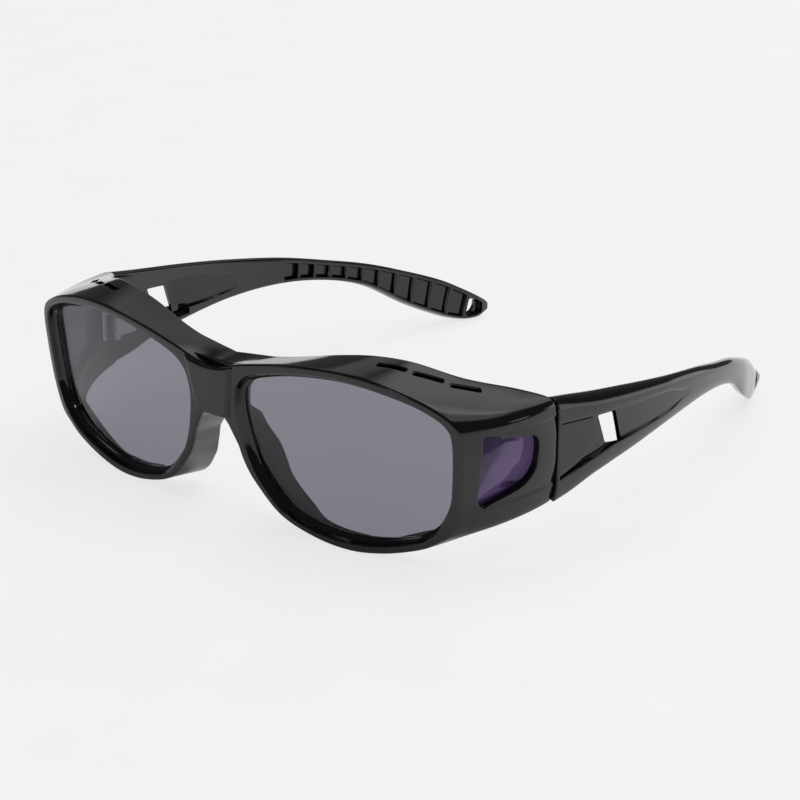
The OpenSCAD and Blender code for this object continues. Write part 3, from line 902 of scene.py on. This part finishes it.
    def window_outline(self) -> list:
        """Smooth outline of the side window, in Y and Z of its frame."""
        long, high = self.window_len, self.window_h
        corners = [((-long, 0), 1.0), ((-2.2, -0.125 * high), 1.6), ((-0.6, -0.2 * high), 0.4),
                   ((0, -0.31 * high), 1.4), ((-0.6, -0.64 * high), 2.0),
                   ((-3.8, -0.85 * high), 2.0), ((-0.88 * long, -1.06 * high), 0.8),
                   ((-0.97 * long, -1.05 * high), 0.5), ((-1.02 * long, -0.97 * high), 0.8)]
        return even(rounded([(Vector(p), cut) for p, cut in corners], 5), 0.6)[::-1]

    def cut_window(self, bm: bmesh.types.BMesh) -> None:
        """Cuts the side window with its rebate for the pane.

        Args:
            bm: the moulding's left half.
        """
        face = self.side_wall - self.pane_t - self.pane_set
        lap = self.pane_lap + self.seat_gap
        outer = [*self.window_edge, (0, face), (lap, face)]
        inner = [(lap + growth, depth) for growth, depth in self.window_inside]
        pierce(bm, self.window_frame(), self.window_outline(), outer, inner, reach=8)

    def cut_vents(self, bm: bmesh.types.BMesh) -> None:
        """Cuts the vent slots along the rear edge of the brow shelf.

        Args:
            bm: the moulding's left half.
        """
        long, wide = self.vent_len / 2, self.vent_w / 2
        corners = [(-long, -wide), (long, -wide), (long, wide), (-long, wide)]
        outline = even(rounded([(Vector(p), 0.4) for p in corners], 3), 0.6)
        for s, ahead in self.vent_at:
            r, q = on_loop(self.rear_edge, s), on_loop(self.rear_edge, s + 0.3)
            turn = math.atan2(q.y - r.y, q.x - r.x)
            place = (Matrix.Translation((r.x, self.front_y + r.y - ahead, r.z))
                     @ Matrix.Rotation(turn, 4, "Z") @ UPRIGHT)
            pierce(bm, place, outline, self.vent_edge, self.vent_edge, reach=6)

    def hinge_cutters(self, front: float, back: float) -> list:
        """Cutters for the hinge barrel and for a leaf.

        Args:
            front: where the leaf starts, as a distance behind the seam.
            back: where it ends.

        Returns:
            The cutters for the left side.
        """
        low, high = self.barrel_z - self.barrel_h / 2, self.barrel_z + self.barrel_h / 2
        gap = self.seat_gap
        box = [(front - gap, low - gap), (back + gap, low - gap), (back + gap, high + gap),
               (front - gap, high + gap)]
        level = Matrix.Translation((0, self.seam_y, 0))
        cuts = [prism(box, level, self.inner_x - self.leaf_room,
                      self.inner_x + self.leaf_sunk + gap)]
        r = self.barrel_r + self.knuckle_play
        circle = [(r * math.cos(k * math.pi / 24), r * math.sin(k * math.pi / 24))
                  for k in range(48)]
        foot = (self.barrel_x, self.seam_y, low - self.barrel_under)
        return cuts + [prism(circle, Matrix.Translation(foot) @ UPRIGHT, 0,
                             self.barrel_h + self.barrel_under + self.barrel_over)]

    def half(self) -> bmesh.types.BMesh:
        """Left half of the moulding, closed on the middle plane."""
        bm = bmesh.new()
        rings = [self.section(s) for s in self.pitch()]
        loft(bm, *add_ring(bm, rings[0]), rings[1:])
        bmesh.ops.remove_doubles(bm, verts=bm.verts, dist=MERGE)
        bmesh.ops.recalc_face_normals(bm, faces=bm.faces)
        self.cut_window(bm)
        self.cut_vents(bm)
        return carved(bm, self.hinge_cutters(-self.front_leaf_len, 0))

    def mirrored(self, bm: bmesh.types.BMesh) -> None:
        """Opens a half on the middle plane and joins it to its mirror image.

        Args:
            bm: the moulding's left half, which becomes the whole.
        """
        near = 1e-3
        flat = [f for f in bm.faces if all(abs(v.co.x) < near for v in f.verts)]
        bmesh.ops.delete(bm, geom=flat, context="FACES")
        for v in bm.verts:
            if abs(v.co.x) < near:
                v.co.x = 0
        bmesh.ops.mirror(bm, geom=bm.verts[:] + bm.edges[:] + bm.faces[:], merge_dist=near,
                         axis="X")

    def add_block(self, bm: bmesh.types.BMesh) -> None:
        """Adds the bridge block, a keystone that stands proud of the two rims.

        Args:
            bm: the whole moulding.
        """
        low, top, proud = self.bridge_low, self.bridge_top, self.bridge_proud
        flank, narrow, wide = self.block_flank, self.block_low, self.block_high
        rise = (self.outer[1].y - top) / self.outer[1].x ** 2

        def ring(share: float, drop: float, half: float, lift: float) -> list:
            """Level ring of the block, which bends up like the brim.

            Args:
                share: share of the block's height.
                drop: how much lower than that share.
                half: half of its width.
                lift: how far its face stands in front of the rims.

            Returns:
                The ring's points.
            """
            corners = []
            for x, y, cut, parts in ((flank, 2, 0, 1), (flank, 0.2, 0, 1),
                                     (0, -lift, self.edge_round, 12)):
                corners.append((Vector((half + x, y, 0)), cut, parts))
            corners += [(Vector((-p.x, p.y, 0)), cut, 1) for p, cut, _ in reversed(corners)]
            points = rounded(corners, 5)
            for p in points:
                p.z = low + (top + rise * p.x ** 2 - low) * share - drop
                p.y += self.face_y(p.x, p.z)
            return points

        rings = [ring(0, drop, narrow - slim, proud - sink)
                 for drop, slim, sink in self.block_foot]
        rings += [ring(k / 6, 0, narrow + (wide - narrow) * k / 6, proud) for k in range(1, 6)]
        rings += [ring(1, drop, wide - slim, proud - sink)
                  for drop, slim, sink in self.block_head]
        tube(bm, rings)

    def pad(self) -> bmesh.types.BMesh:
        """Flat pad inside the left end of the front, which carries a hinge leaf."""
        front = self.seam_y - self.front_leaf_len - self.pad_ahead
        back = self.seam_y - self.seam_gap / 2
        size = Vector((self.pad_t, back - front, self.barrel_h + 2 * self.pad_over))
        mid = Vector((self.inner_x + size.x / 2, (front + back) / 2, self.barrel_z))
        bm = bmesh.new()
        made = bmesh.ops.create_cube(bm, size=1)["verts"]
        bmesh.ops.scale(bm, vec=size, verts=made)
        bmesh.ops.translate(bm, vec=mid, verts=made)
        bmesh.ops.bevel(bm, geom=bm.edges[:], offset=0.3, offset_type="OFFSET", segments=3,
                        profile=0.5, material=-1, affect="EDGES")
        return carved(bm, self.hinge_cutters(-self.front_leaf_len, 0))

    def build(self, material: bpy.types.Material) -> None:
        """Makes the front and dresses it.

        Args:
            material: its finish.
        """
        bm = self.half()
        self.mirrored(bm)
        pad = self.pad()
        bmesh.ops.mirror(pad, geom=pad.verts[:] + pad.edges[:] + pad.faces[:], merge_dist=1e-6,
                         axis="X")
        loose = bpy.data.meshes.new("pads")
        pad.to_mesh(loose)
        pad.free()
        bm.from_mesh(loose)
        self.add_block(bm)
        dress(finish(bm, "front_moulding"), material, "frame", "front", "front_frame")


@dataclass
class FrontLens:
    """One wrapped front lens, a thin curved sheet held in the groove of its rim."""

    front: FrontMoulding
    side: Side

    def build(self, material: bpy.types.Material) -> None:
        """Makes the lens and dresses it.

        Args:
            material: its finish.
        """
        f = self.front
        mid = Vector((f.lens_gap + f.lens_w, 2 * f.lens_floor + f.lens_h)) / 2
        grip = f.lip_in - f.lens_bite + f.seat_gap
        steps = f.stations * 6
        near, far = f.lens_set + f.seat_gap, f.lens_set + f.seat_gap + f.lens_t
        edge = [on_loop(f.opening, k * f.stations / steps)
                - grip * f.opening_out(k * f.stations / steps) for k in range(steps)]

        def ring(share: float, depth: float) -> list:
            """The lens's edge drawn in to a share, at a depth behind the rims' face."""
            points = [mid + (e - mid) * share for e in edge]
            return [Vector((self.side.value * p.x, f.face_y(p.x, p.y) + depth, p.y))
                    for p in points]

        shares = [0.03] + [k / 12 for k in range(1, 12)] + [0.985]
        edge_round, bevel = 0.2, 0.06
        rings = [ring(s, near) for s in shares]
        rings += [ring(0.996, near + bevel), ring(1, near + edge_round),
                  ring(1, far - edge_round), ring(0.996, far - bevel)]
        rings += [ring(s, far) for s in reversed(shares)]
        bm = bmesh.new()
        tube(bm, rings)
        word = self.side.word
        piece = finish(bm, f"{word}_tinted_lens", crease=60)
        dress(piece, material, "lens", "front", f"{word}_lens")


@dataclass
class SidePane:
    """The small tinted pane in a side wall, set into a rebate from inside."""

    front: FrontMoulding
    side: Side

    def build(self, material: bpy.types.Material) -> None:
        """Makes the pane and dresses it.

        Args:
            material: its finish.
        """
        f = self.front
        place = f.window_frame()
        outline = f.window_outline()

        def ring(growth: float, x: float) -> list:
            """The window's outline, grown, at a distance out of the wall."""
            points = [place @ Vector((x, q.x, q.y)) for q in grown(outline, growth)]
            return [Vector((self.side.value * p.x, p.y, p.z)) for p in points]

        lap, face = f.pane_lap, -f.side_wall + f.pane_t + f.pane_set
        back = face - f.pane_t
        bevel = 0.1
        rings = [ring(lap - bevel, back), ring(lap, back + bevel), ring(lap, face - bevel),
                 ring(lap - bevel, face)]
        bm = bmesh.new()
        tube(bm, rings)
        word = self.side.word
        piece = finish(bm, f"{word}_tinted_pane", crease=60)
        dress(piece, material, "side_pane", "front", f"{word}_side_pane")


# Temples

@dataclass
class TempleMoulding:
    """One temple: two bars round a web with a cut-out, and cored pockets inside its rear."""

    front: FrontMoulding
    side: Side
    temple_bend: float = 27.0
    most_out: float = 1.29
    tip_t: float = 3.2
    panel_depth: float = 0.5
    facet_depth: float = 1.3
    web_t: float = 1.0
    core_depth: float = 1.7
    core_border: float = 1.3
    core_count: int = 12
    core_start: float = 64.3
    tip_border: float = 2.9
    rib_t: float = 0.9
    rib_lean: float = 0.35
    rib_in: float = 0.12
    rib_deep: float = 2.0
    rib_ends: float = 1.2
    facet_start: float = 25.0
    facet_end: float = 57.0
    facet_fade: float = 12.0
    hollow_start: float = 11.0
    hollow_fade: float = 24.0
    hollow_end: float = 48.0
    slot_back: float = 5.9
    slot_len: float = 5.0
    slot_w: float = 2.6
    slot_tilt: float = -20.0
    leaf_len: float = 8.5
    upper_least: float = 2.6
    lower_least: float = 1.6
    panel_tip: float = 25.6
    panel_ramp: float = 0.3
    cut_reach: float = 8.0
    sill_slope: float = 0.58
    ring_pitch: float = 0.75
    tip_pitch: float = 0.2
    step_pitch: float = 0.12

    # Shares of the length, with shares of the seam's top height or of the bend.
    top_shape = (
        (0, 0.997), (0.116, 0.932), (0.232, 0.875), (0.363, 0.807), (0.503, 0.727),
        (0.618, 0.638), (0.711, 0.56), (0.804, 0.453), (0.881, 0.349), (0.935, 0.248),
        (0.97, 0.175), (0.988, 0.138), (1, 0.104))
    low_shape = (
        (0, 0.333), (0.046, 0.359), (0.116, 0.417), (0.232, 0.474), (0.363, 0.521),
        (0.503, 0.529), (0.618, 0.479), (0.711, 0.378), (0.804, 0.19), (0.881, 0.06),
        (0.916, 0.016), (0.94, 0.001), (0.966, 0.008), (0.988, 0.029), (1, 0.052))
    bend_shape = (
        (0, 0), (0.155, 0.048), (0.309, 0.015), (0.464, -0.089), (0.618, -0.263),
        (0.773, -0.507), (0.889, -0.758), (0.951, -0.9), (1, -1))
    # Edges of the two bars on the outside: height at the seam and rise per millimetre.
    upper_line = (32.4, -0.085)
    lower_lines = ((18, 0.19), (21, 0.04))
    # Heights of the hollow behind the web, along it.
    hollow_top = ((0, 31.6), (0.4, 30.8), (0.68, 29.5), (1, 27.6))
    hollow_low = ((0, 21.2), (0.4, 21.6), (0.68, 21.9), (1, 23))
    # Round edge of the cord slot: pairs of growth and depth, from the skin inwards.
    slot_edge = ((0.35, 0), (0.15, 0), (0.07, 0.02), (0.02, 0.07), (0, 0.15))
    # Places in millimetres behind the seam, with a height: lower edge of the panel, cut-outs.
    panel_low = ((0, 18.1), (1.4, 18.6), (9.2, 21.3), (13.1, 23.7), (15.7, 25.4))
    panel_start, panel_turn, panel_end = 0.8, 12.9, 15.7
    cut_out = ((15.6, 30.3), (18.6, 22.7), (25.2, 21.4), (22.5, 29.7))
    cut_middle = 20
    relief = ((22, 22), (25, 21.4), (29.5, 21.9), (29.5, 23.5), (22, 23.5))

    def __post_init__(self) -> None:
        """Works out places from the sizes."""
        f = self.front
        self.start = f.seam_y + f.seam_gap / 2
        self.length = f.overall_depth / 2 - self.start
        self.core_end = self.length - self.tip_border
        self.slot_v = self.length - self.slot_back
        root, tip = f.temple_root_t, self.tip_t
        self.thick_shape = ((0, root), (0.077, root + 0.7), (0.193, root + 0.6),
                            (0.348, tip + 0.4), (0.464, tip), (0.959, tip), (1, 0.4 * tip))

    def top(self, v: float) -> float:
        """Height of the top edge at a distance behind the seam."""
        return self.front.seam_top * on_table(self.top_shape, v / self.length)

    def low(self, v: float) -> float:
        """Height of the bottom edge at a distance behind the seam."""
        return self.front.seam_top * on_table(self.low_shape, v / self.length)

    def outer_x(self, v: float) -> float:
        """X of the outer face at a distance behind the seam."""
        bend = on_table(self.bend_shape, v / self.length)
        return self.front.half_span + min(self.temple_bend * bend, self.most_out)

    def thick(self, v: float) -> float:
        """Thickness at a distance behind the seam."""
        return on_table(self.thick_shape, v / self.length)

    def recess(self, v: float) -> tuple:
        """Depths of the relief on the outside.

        Args:
            v: distance behind the seam.

        Returns:
            Depths of the channel, of the panel and of the line over the panel.
        """
        start = ramp(self.panel_start, self.panel_start + self.panel_ramp, v)
        fade = (self.facet_end - v) / (self.facet_end - self.facet_start)
        deep = self.facet_depth * min(1, max(0, fade)) * start
        if v > self.panel_end:
            return deep, deep, deep
        flat = self.panel_depth * start
        turn = ramp(self.panel_turn - 0.4, self.panel_turn + 0.3, v)
        return deep, flat, flat + (deep - flat) * (0.3 + 0.7 * turn)

    def section(self, v: float, shrink: float = 0) -> list:
        """Section of the temple: lower bar, channel, panel, line, upper bar, inside.

        Args:
            v: distance behind the seam.
            shrink: how far the ring is drawn in, to round an end.

        Returns:
            One closed ring of points.
        """
        x, thick, z1, z0 = self.outer_x(v), self.thick(v), self.top(v), self.low(v)
        high = z1 - z0
        plain = ramp(self.facet_end - self.facet_fade, self.facet_end, v)
        line_z, fall = self.upper_line
        u = min(line_z + fall * v, z1 - self.upper_least)
        w = max(min(z + rise * v for z, rise in self.lower_lines), z0 + self.lower_least)
        u = u * (1 - plain) + (z0 + 0.6 * high) * plain
        w = w * (1 - plain) + (z0 + 0.4 * high) * plain
        deep, flat, line = self.recess(v)
        foot, under, over = w - z0, 0.3 * thick, 0.55 * thick
        up = min(0.8 * (z1 - u), 4.5)
        slant = min(0.9, 0.06 * high)
        s = min(0.25, 0.05 * high)
        sill = s * (2 - plain)
        if v <= self.panel_end:
            past = max(0, v - self.panel_turn) / (self.panel_end - self.panel_turn)
            over_panel = u - sill - 0.15
            p1 = over_panel + (self.panel_tip - over_panel) * past
            p0 = min(max(on_table(self.panel_low, v), w + 2 * s), p1 - 0.05)
            step = min(0.25, (u - sill - p1) / 2)
        else:
            line_half = min(0.1, 0.15 * (u - w))
            p0, p1 = 0.5 * (u + w) - line_half, 0.5 * (u + w) + line_half
            step = min(0.1, 0.4 * (u - sill - p1))
        corners = []

        def add(depth: float, z: float, cut: float = 0, parts: int = 1) -> None:
            """Adds a corner at a depth under the outer face and a height."""
            corners.append((Vector((x - depth, self.start + v, z)), cut, parts))

        for t in (0.0, 0.02, 0.06, 0.13, 0.22, 0.35, 0.5, 0.68, 0.85):
            add(under * (1 - math.sqrt(t)) ** 1.5, z0 + foot * t)
        add(0, w, 0.2)
        add(deep, w + s, 0.12, 3)
        add(deep, p0 - min(0.2, 0.4 * (p0 - w - s)), 0.1)
        add(flat, p0, 0.12, 8)
        add(flat, p1, 0.12)
        add(line, p1 + step, 0.1, 4)
        add(line, u - sill, 0.12)
        add(0, u, 0.45)
        for k in range(9):
            a = k * math.pi / 16
            add(over * (1 - math.cos(a)), z1 - up * (1 - math.sin(a)))
        add(thick, z1, min(0.7, 0.2 * high), 4)
        for depth, z, cut, parts in self.hollow(v, thick, z0, z1):
            add(thick - depth, z, cut, parts)
        add(thick, z0 + slant, min(0.7, 0.2 * high), 2)
        ring = rounded(corners, 3)
        return self.inset(ring, shrink) if shrink else ring

    def hollow(self, v: float, thick: float, z0: float, z1: float) -> list:
        """Corners of the hollow or core on the inside of the temple.

        Args:
            v: distance behind the seam.
            thick: the temple's thickness there.
            z0, z1: heights of its bottom and top edges there.

        Returns:
            For each corner its depth, height, rounding and parts.
        """
        edge = 0.3
        if self.core_start <= v <= self.core_end:
            a, b, deep = z0 + self.core_border, z1 - self.core_border, self.core_depth
            edge = 0.4
        elif self.hollow_start <= v <= self.hollow_end:
            t = (v - self.hollow_start) / (self.hollow_end - self.hollow_start)
            a, b = on_table(self.hollow_low, t), on_table(self.hollow_top, t)
            fade = (self.hollow_end - v) / (self.hollow_end - self.hollow_fade)
            deep = (thick - self.facet_depth - self.web_t) * min(1, fade)
        else:
            a, b, deep = z0 + 0.35 * (z1 - z0), z0 + 0.65 * (z1 - z0), 0
        edge = min(edge, 0.2 * (b - a))
        return [(0, b, 0.15, 1), (deep, b - edge, 0.2, 10), (deep, a + edge, 0.2, 1),
                (0, a, 0.15, 4)]

    @staticmethod
    def inset(ring: list, amount: float) -> list:
        """Draws a flat ring in towards its own inside.

        Args:
            ring: the ring's points.
            amount: how far they move.

        Returns:
            The moved points.
        """
        n = len(ring)
        moved = []
        for i, p in enumerate(ring):
            along = ring[(i + 1) % n] - ring[i - 1]
            flat = Vector((along.x, 0, along.z))
            if flat.length < 1e-6:
                moved.append(p.copy())
                continue
            flat.normalize()
            moved.append(p + Vector((-flat.z, 0, flat.x)) * amount)
        return moved

    def pitch(self) -> list:
        """Distances behind the seam of the rings."""
        step, pitch = self.step_pitch, self.ring_pitch
        marks = [self.panel_start, self.panel_start + self.panel_ramp / 2,
                 self.panel_start + self.panel_ramp, self.hollow_start - step, self.hollow_start,
                 self.panel_turn, self.panel_end, self.panel_end + step, self.hollow_end,
                 self.facet_end, self.core_start - step, self.core_start, self.core_end,
                 self.core_end + step]
        places = [0.3 + pitch * k for k in range(int((self.length - 3) / pitch))]
        places += [self.length - self.tip_pitch * k for k in range(1, 14)]
        clear = step + 0.01
        return sorted(marks + [v for v in places if all(abs(v - m) > clear for m in marks)])

    def cut_slot(self, bm: bmesh.types.BMesh) -> None:
        """Cuts the cord slot near the tip.

        Args:
            bm: the temple's closed mesh.
        """
        arc = (self.slot_len ** 2 + self.slot_w ** 2) / (4 * self.slot_w)
        half = math.asin(self.slot_len / 2 / arc)
        outline = []
        for sign in (1, -1):
            for k in range(12):
                a = half * (k / 6 - 1)
                outline.append(Vector((sign * (arc * math.cos(a) - arc + self.slot_w / 2),
                                       sign * arc * math.sin(a))))
        v = self.slot_v
        turn = math.atan2(self.outer_x(v - 1) - self.outer_x(v + 1), 2)
        middle = (self.outer_x(v) - self.thick(v) / 2, self.start + v,
                  (self.top(v) + self.low(v)) / 2)
        place = (Matrix.Translation(middle) @ Matrix.Rotation(turn, 4, "Z")
                 @ Matrix.Rotation(math.radians(self.slot_tilt), 4, "X"))
        pierce(bm, place, outline, self.slot_edge, self.slot_edge, reach=6, margin=0.15)

    def ribs(self, bm: bmesh.types.BMesh) -> None:
        """Adds the ribs that stand between the cored pockets.

        Args:
            bm: the temple's closed mesh.
        """
        gap = (self.core_end - self.core_start) / self.core_count
        shallow, deep, ends = self.rib_in, self.rib_deep, self.rib_ends
        for k in range(1, self.core_count):
            v = self.core_start + k * gap
            lean = self.rib_lean * (self.top(v - 1) - self.top(v + 1)) / 2
            z0, z1 = self.low(v), self.top(v)
            corners = ((shallow, z1 - ends), (deep, z1 - ends), (deep, z0 + ends),
                       (shallow, z0 + ends))
            rings = []
            for shift, inset in ((-0.5, 0.1), (-0.38, 0.0), (0.38, 0.0), (0.5, 0.1)):
                ring = []
                for depth, z in corners:
                    at = v + shift * self.rib_t + lean * (z - (z0 + z1) / 2)
                    x = self.outer_x(at) - self.thick(at) + max(depth, shallow + inset)
                    ring.append(Vector((x, self.start + at, z)))
                rings.append(ring)
            tube(bm, rings)

    def build(self, material: bpy.types.Material) -> None:
        """Makes the temple on the left, mirrors it if need be, and dresses it.

        Args:
            material: its finish.
        """
        bm = bmesh.new()
        end = self.length
        rings = [self.section(0, 0.22), self.section(0.03, 0.12), self.section(0.1, 0.03)]
        rings += [self.section(v) for v in self.pitch()]
        for v, share in ((end - 0.12, 0.95), (end - 0.03, 0.85), (end - 0.002, 0.7)):
            ring = self.section(v)
            middle = sum(ring, Vector()) / len(ring)
            rings.append([middle.lerp(p, share) for p in ring])
        tube(bm, rings)
        bmesh.ops.remove_doubles(bm, verts=bm.verts, dist=MERGE)
        bmesh.ops.recalc_face_normals(bm, faces=bm.faces)
        self.cut_slot(bm)
        f = self.front
        outline = rounded([(Vector(p), 0.5) for p in self.cut_out], 4)
        slope = Matrix.Identity(4)
        slope[2][0] = self.sill_slope
        face = self.outer_x(self.cut_middle) - self.facet_depth
        web = Matrix.Translation((face, f.seam_y, 0)) @ slope
        cuts = [prism(outline, web, -self.cut_reach, self.cut_reach),
                prism(self.relief, web, -self.cut_reach, -self.web_t - f.seat_gap)]
        bm = carved(bm, cuts + f.hinge_cutters(0, self.leaf_len))
        self.ribs(bm)
        if self.side is Side.RIGHT:
            bmesh.ops.scale(bm, vec=(-1, 1, 1), verts=bm.verts)
        word = self.side.word
        dress(finish(bm, f"{word}_temple_moulding"), material, "frame", f"{word}_arm",
              f"{word}_temple")


# Stage

@dataclass(frozen=True)
class Glow:
    """A soft-edged bright part of the studio, in degrees round and above the table."""

    azimuth: float
    elevation: float
    width: float
    height: float
    strength: float
    soft: float = 6.0


@dataclass(frozen=True)
class Studio:
    """White table, soft lights and the camera."""

    camera_at: tuple = (421.97, -520.85, 253.05)
    right: tuple = (0.76544, 0.64345, 0.00838)
    up: tuple = (-0.22329, 0.25337, 0.94125)
    back: tuple = (0.60352, -0.72234, 0.33762)
    lens_mm: float = 122.7
    sensor_mm: float = 36.0
    shift_x: float = 0.0108
    shift_y: float = -0.0223
    room: float = 0.08
    whiteness: float = 0.82
    # The floor's glow in the gloss, low in front of the glasses and full behind them, is a
    # painted pool of light from the back.
    mirror_near: float = 0.1
    mirror_far: float = 1.0
    mirror_from: float = -0.03
    mirror_to: float = 0.06
    floor_half: float = 6000.0
    floor_colour: str = "#f4f4f6"
    floor_mottle: str = "#f8f8f9"
    floor_grain_mm: float = 25.0
    glows: tuple = (
        Glow(azimuth=75, elevation=59, width=96, height=10, strength=0.75),
        Glow(azimuth=100, elevation=48, width=48, height=26, strength=0.9, soft=12),
        Glow(azimuth=126, elevation=27, width=22, height=16, strength=0.25),
        Glow(azimuth=66, elevation=4, width=44, height=18, strength=1.2, soft=8),
        Glow(azimuth=25, elevation=9, width=10, height=8, strength=1.2, soft=4),
        Glow(azimuth=-90, elevation=22, width=8, height=5, strength=7, soft=2),
        Glow(azimuth=-143, elevation=30, width=10, height=6, strength=0.95, soft=4))

    def add_camera(self) -> None:
        """Camera at the photograph's viewing angle."""
        data = bpy.data.cameras.new("camera")
        data.lens = self.lens_mm
        data.sensor_width = self.sensor_mm
        data.shift_x, data.shift_y = self.shift_x, self.shift_y
        data.clip_start, data.clip_end = 0.05, 20
        camera = bpy.data.objects.new("camera", data)
        turn = Matrix((self.right, self.up, self.back)).transposed().to_4x4()
        camera.matrix_world = Matrix.Translation(Vector(self.camera_at) * MM) @ turn
        bpy.context.scene.collection.objects.link(camera)
        bpy.context.scene.camera = camera

    def add_floor(self) -> None:
        """Satin white table top that reaches past the view; in the gloss it glows brighter
        towards the back, a painted pool of light.
        """
        bm = bmesh.new()
        bmesh.ops.create_grid(bm, x_segments=2, y_segments=2, size=self.floor_half)
        floor = finish(bm, "floor")
        material, tree, out = new_material("laminate_white_satin")
        place = add_node(tree, "TexCoord").outputs["Object"]
        grain = add_node(tree, "TexNoise", {"Scale": 1 / (self.floor_grain_mm * MM),
                         "Detail": 2.0}, {"Vector": place})
        tint = add_node(tree, "Mix", {6: linear(self.floor_colour),
                        7: linear(self.floor_mottle)}, {0: grain.outputs["Fac"]},
                        data_type="RGBA")
        top = add_node(tree, "BsdfPrincipled", {"Roughness": 0.4, "IOR": 1.45},
                       {"Base Color": tint.outputs[2]})
        white = add_node(tree, "Emission", {"Strength": 1.0}, {"Color": tint.outputs[2]})
        path = add_node(tree, "LightPath")
        direct = add_node(tree, "Math", {}, {0: path.outputs["Is Camera Ray"],
                          1: path.outputs["Is Transmission Ray"]}, operation="MAXIMUM")
        plain = add_node(tree, "Math", {1: self.whiteness}, {0: direct.outputs[0]},
                         operation="MULTIPLY")
        spot = add_node(tree, "SeparateXYZ", {}, {0: place})
        # In the gloss the floor glows brighter behind the glasses than in front of them: a
        # painted pool of light from the back.
        behind = add_node(tree, "MapRange", {"From Min": self.mirror_from,
                          "From Max": self.mirror_to, "To Min": self.mirror_near,
                          "To Max": self.mirror_far}, {"Value": spot.outputs["Y"]},
                          interpolation_type="SMOOTHSTEP")
        share = add_node(tree, "Math", {}, {0: path.outputs["Is Glossy Ray"],
                         1: behind.outputs["Result"], 2: plain.outputs[0]},
                         operation="MULTIPLY_ADD")
        shader = add_node(tree, "MixShader", {}, {0: share.outputs[0], 1: top.outputs[0],
                                                  2: white.outputs[0]})
        tree.links.new(shader.outputs[0], out.inputs["Surface"])
        floor.data.materials.append(material)

    def add_world(self) -> None:
        """Dim room with the soft bright parts that the gloss picks up."""
        world = bpy.data.worlds.new("studio")
        world.use_nodes = True
        tree = world.node_tree
        tree.nodes.clear()
        out = add_node(tree, "OutputWorld")
        look = add_node(tree, "SeparateXYZ", {},
                        {0: add_node(tree, "TexCoord").outputs["Generated"]})
        azimuth = add_node(tree, "Math", {}, {0: look.outputs["Y"], 1: look.outputs["X"]},
                           operation="ARCTAN2")
        elevation = add_node(tree, "Math", {}, {0: look.outputs["Z"]}, operation="ARCSINE")
        total = None
        for glow in self.glows:
            shares = []
            for angle, middle, size in ((azimuth, glow.azimuth, glow.width),
                                        (elevation, glow.elevation, glow.height)):
                away = add_node(tree, "Math", {1: math.radians(middle)}, {0: angle.outputs[0]},
                                operation="SUBTRACT")
                far = add_node(tree, "Math", {}, {0: away.outputs[0]}, operation="ABSOLUTE")
                shares.append(add_node(
                    tree, "MapRange", {"From Min": math.radians((size + glow.soft) / 2),
                    "From Max": math.radians((size - glow.soft) / 2)},
                    {"Value": far.outputs[0]}, interpolation_type="SMOOTHSTEP"))
            both = add_node(tree, "Math", {}, {0: shares[0].outputs[0], 1: shares[1].outputs[0]},
                            operation="MULTIPLY")
            total = add_node(tree, "Math", {1: glow.strength, 2: self.room},
                             {0: both.outputs[0]} | ({2: total.outputs[0]} if total else {}),
                             operation="MULTIPLY_ADD")
        sky = add_node(tree, "Background", {"Color": (1, 1, 1, 1)},
                       {"Strength": total.outputs[0]})
        tree.links.new(sky.outputs[0], out.inputs["Surface"])
        bpy.context.scene.world = world

    def add_lamp(self, name: str, azimuth: float, elevation: float, away: float, size: tuple,
                 radiance: float) -> None:
        """Soft rectangular lamp that faces the glasses and stays out of their gloss.

        Args:
            name: the lamp's name.
            azimuth: its direction round the table in degrees.
            elevation: its direction above the table in degrees.
            away: its distance in metres.
            size: its width and height in metres.
            radiance: how bright its face is, where 1 is white.
        """
        data = bpy.data.lights.new(name, "AREA")
        data.shape = "RECTANGLE"
        data.size, data.size_y = size
        data.energy = radiance * math.pi * size[0] * size[1]
        lamp = bpy.data.objects.new(name, data)
        a, e = math.radians(azimuth), math.radians(elevation)
        toward = Vector((math.cos(a) * math.cos(e), math.sin(a) * math.cos(e), math.sin(e)))
        lamp.matrix_world = (Matrix.Translation(toward * away)
                             @ toward.to_track_quat("Z", "Y").to_matrix().to_4x4())
        lamp.visible_glossy = False
        bpy.context.scene.collection.objects.link(lamp)

    def build(self) -> None:
        """Sets up the whole stage."""
        self.add_camera()
        self.add_floor()
        self.add_world()
        self.add_lamp("back_panel", azimuth=99, elevation=28, away=1.6, size=(0.5, 0.3),
                      radiance=8)
        self.add_lamp("overhead_panel", azimuth=60, elevation=82, away=2.2, size=(2.6, 2.6),
                      radiance=2.1)
        bpy.context.scene.view_settings.view_transform = "Standard"


def main() -> None:
    """Builds the stage and the glasses, and dresses the hinge pieces that stay from the CAD."""
    logging.basicConfig(level=logging.INFO, format="%(name)s: %(message)s")
    Studio().build()
    black = GlossMoulding().build()
    grey = TintedSheet("polycarbonate_grey_dyed_polished", colour="#817f89").build()
    purple = TintedSheet("polycarbonate_purple_dyed_polished", colour="#776190",
                         clear=0.5).build()
    steel = HingeSteel().build()
    front = FrontMoulding()
    front.build(black)
    for side in Side:
        FrontLens(front, side).build(grey)
        SidePane(front, side).build(purple)
        TempleMoulding(front, side).build(black)
        for node in ("front_leaf", "temple_leaf", "hinge_screw"):
            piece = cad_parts[f"{side.word}_{node}"]
            piece.data.materials.clear()
            piece.data.materials.append(steel)
            log.info("%s: kept from the CAD", piece.name)


if __name__ == "__main__":
    main()
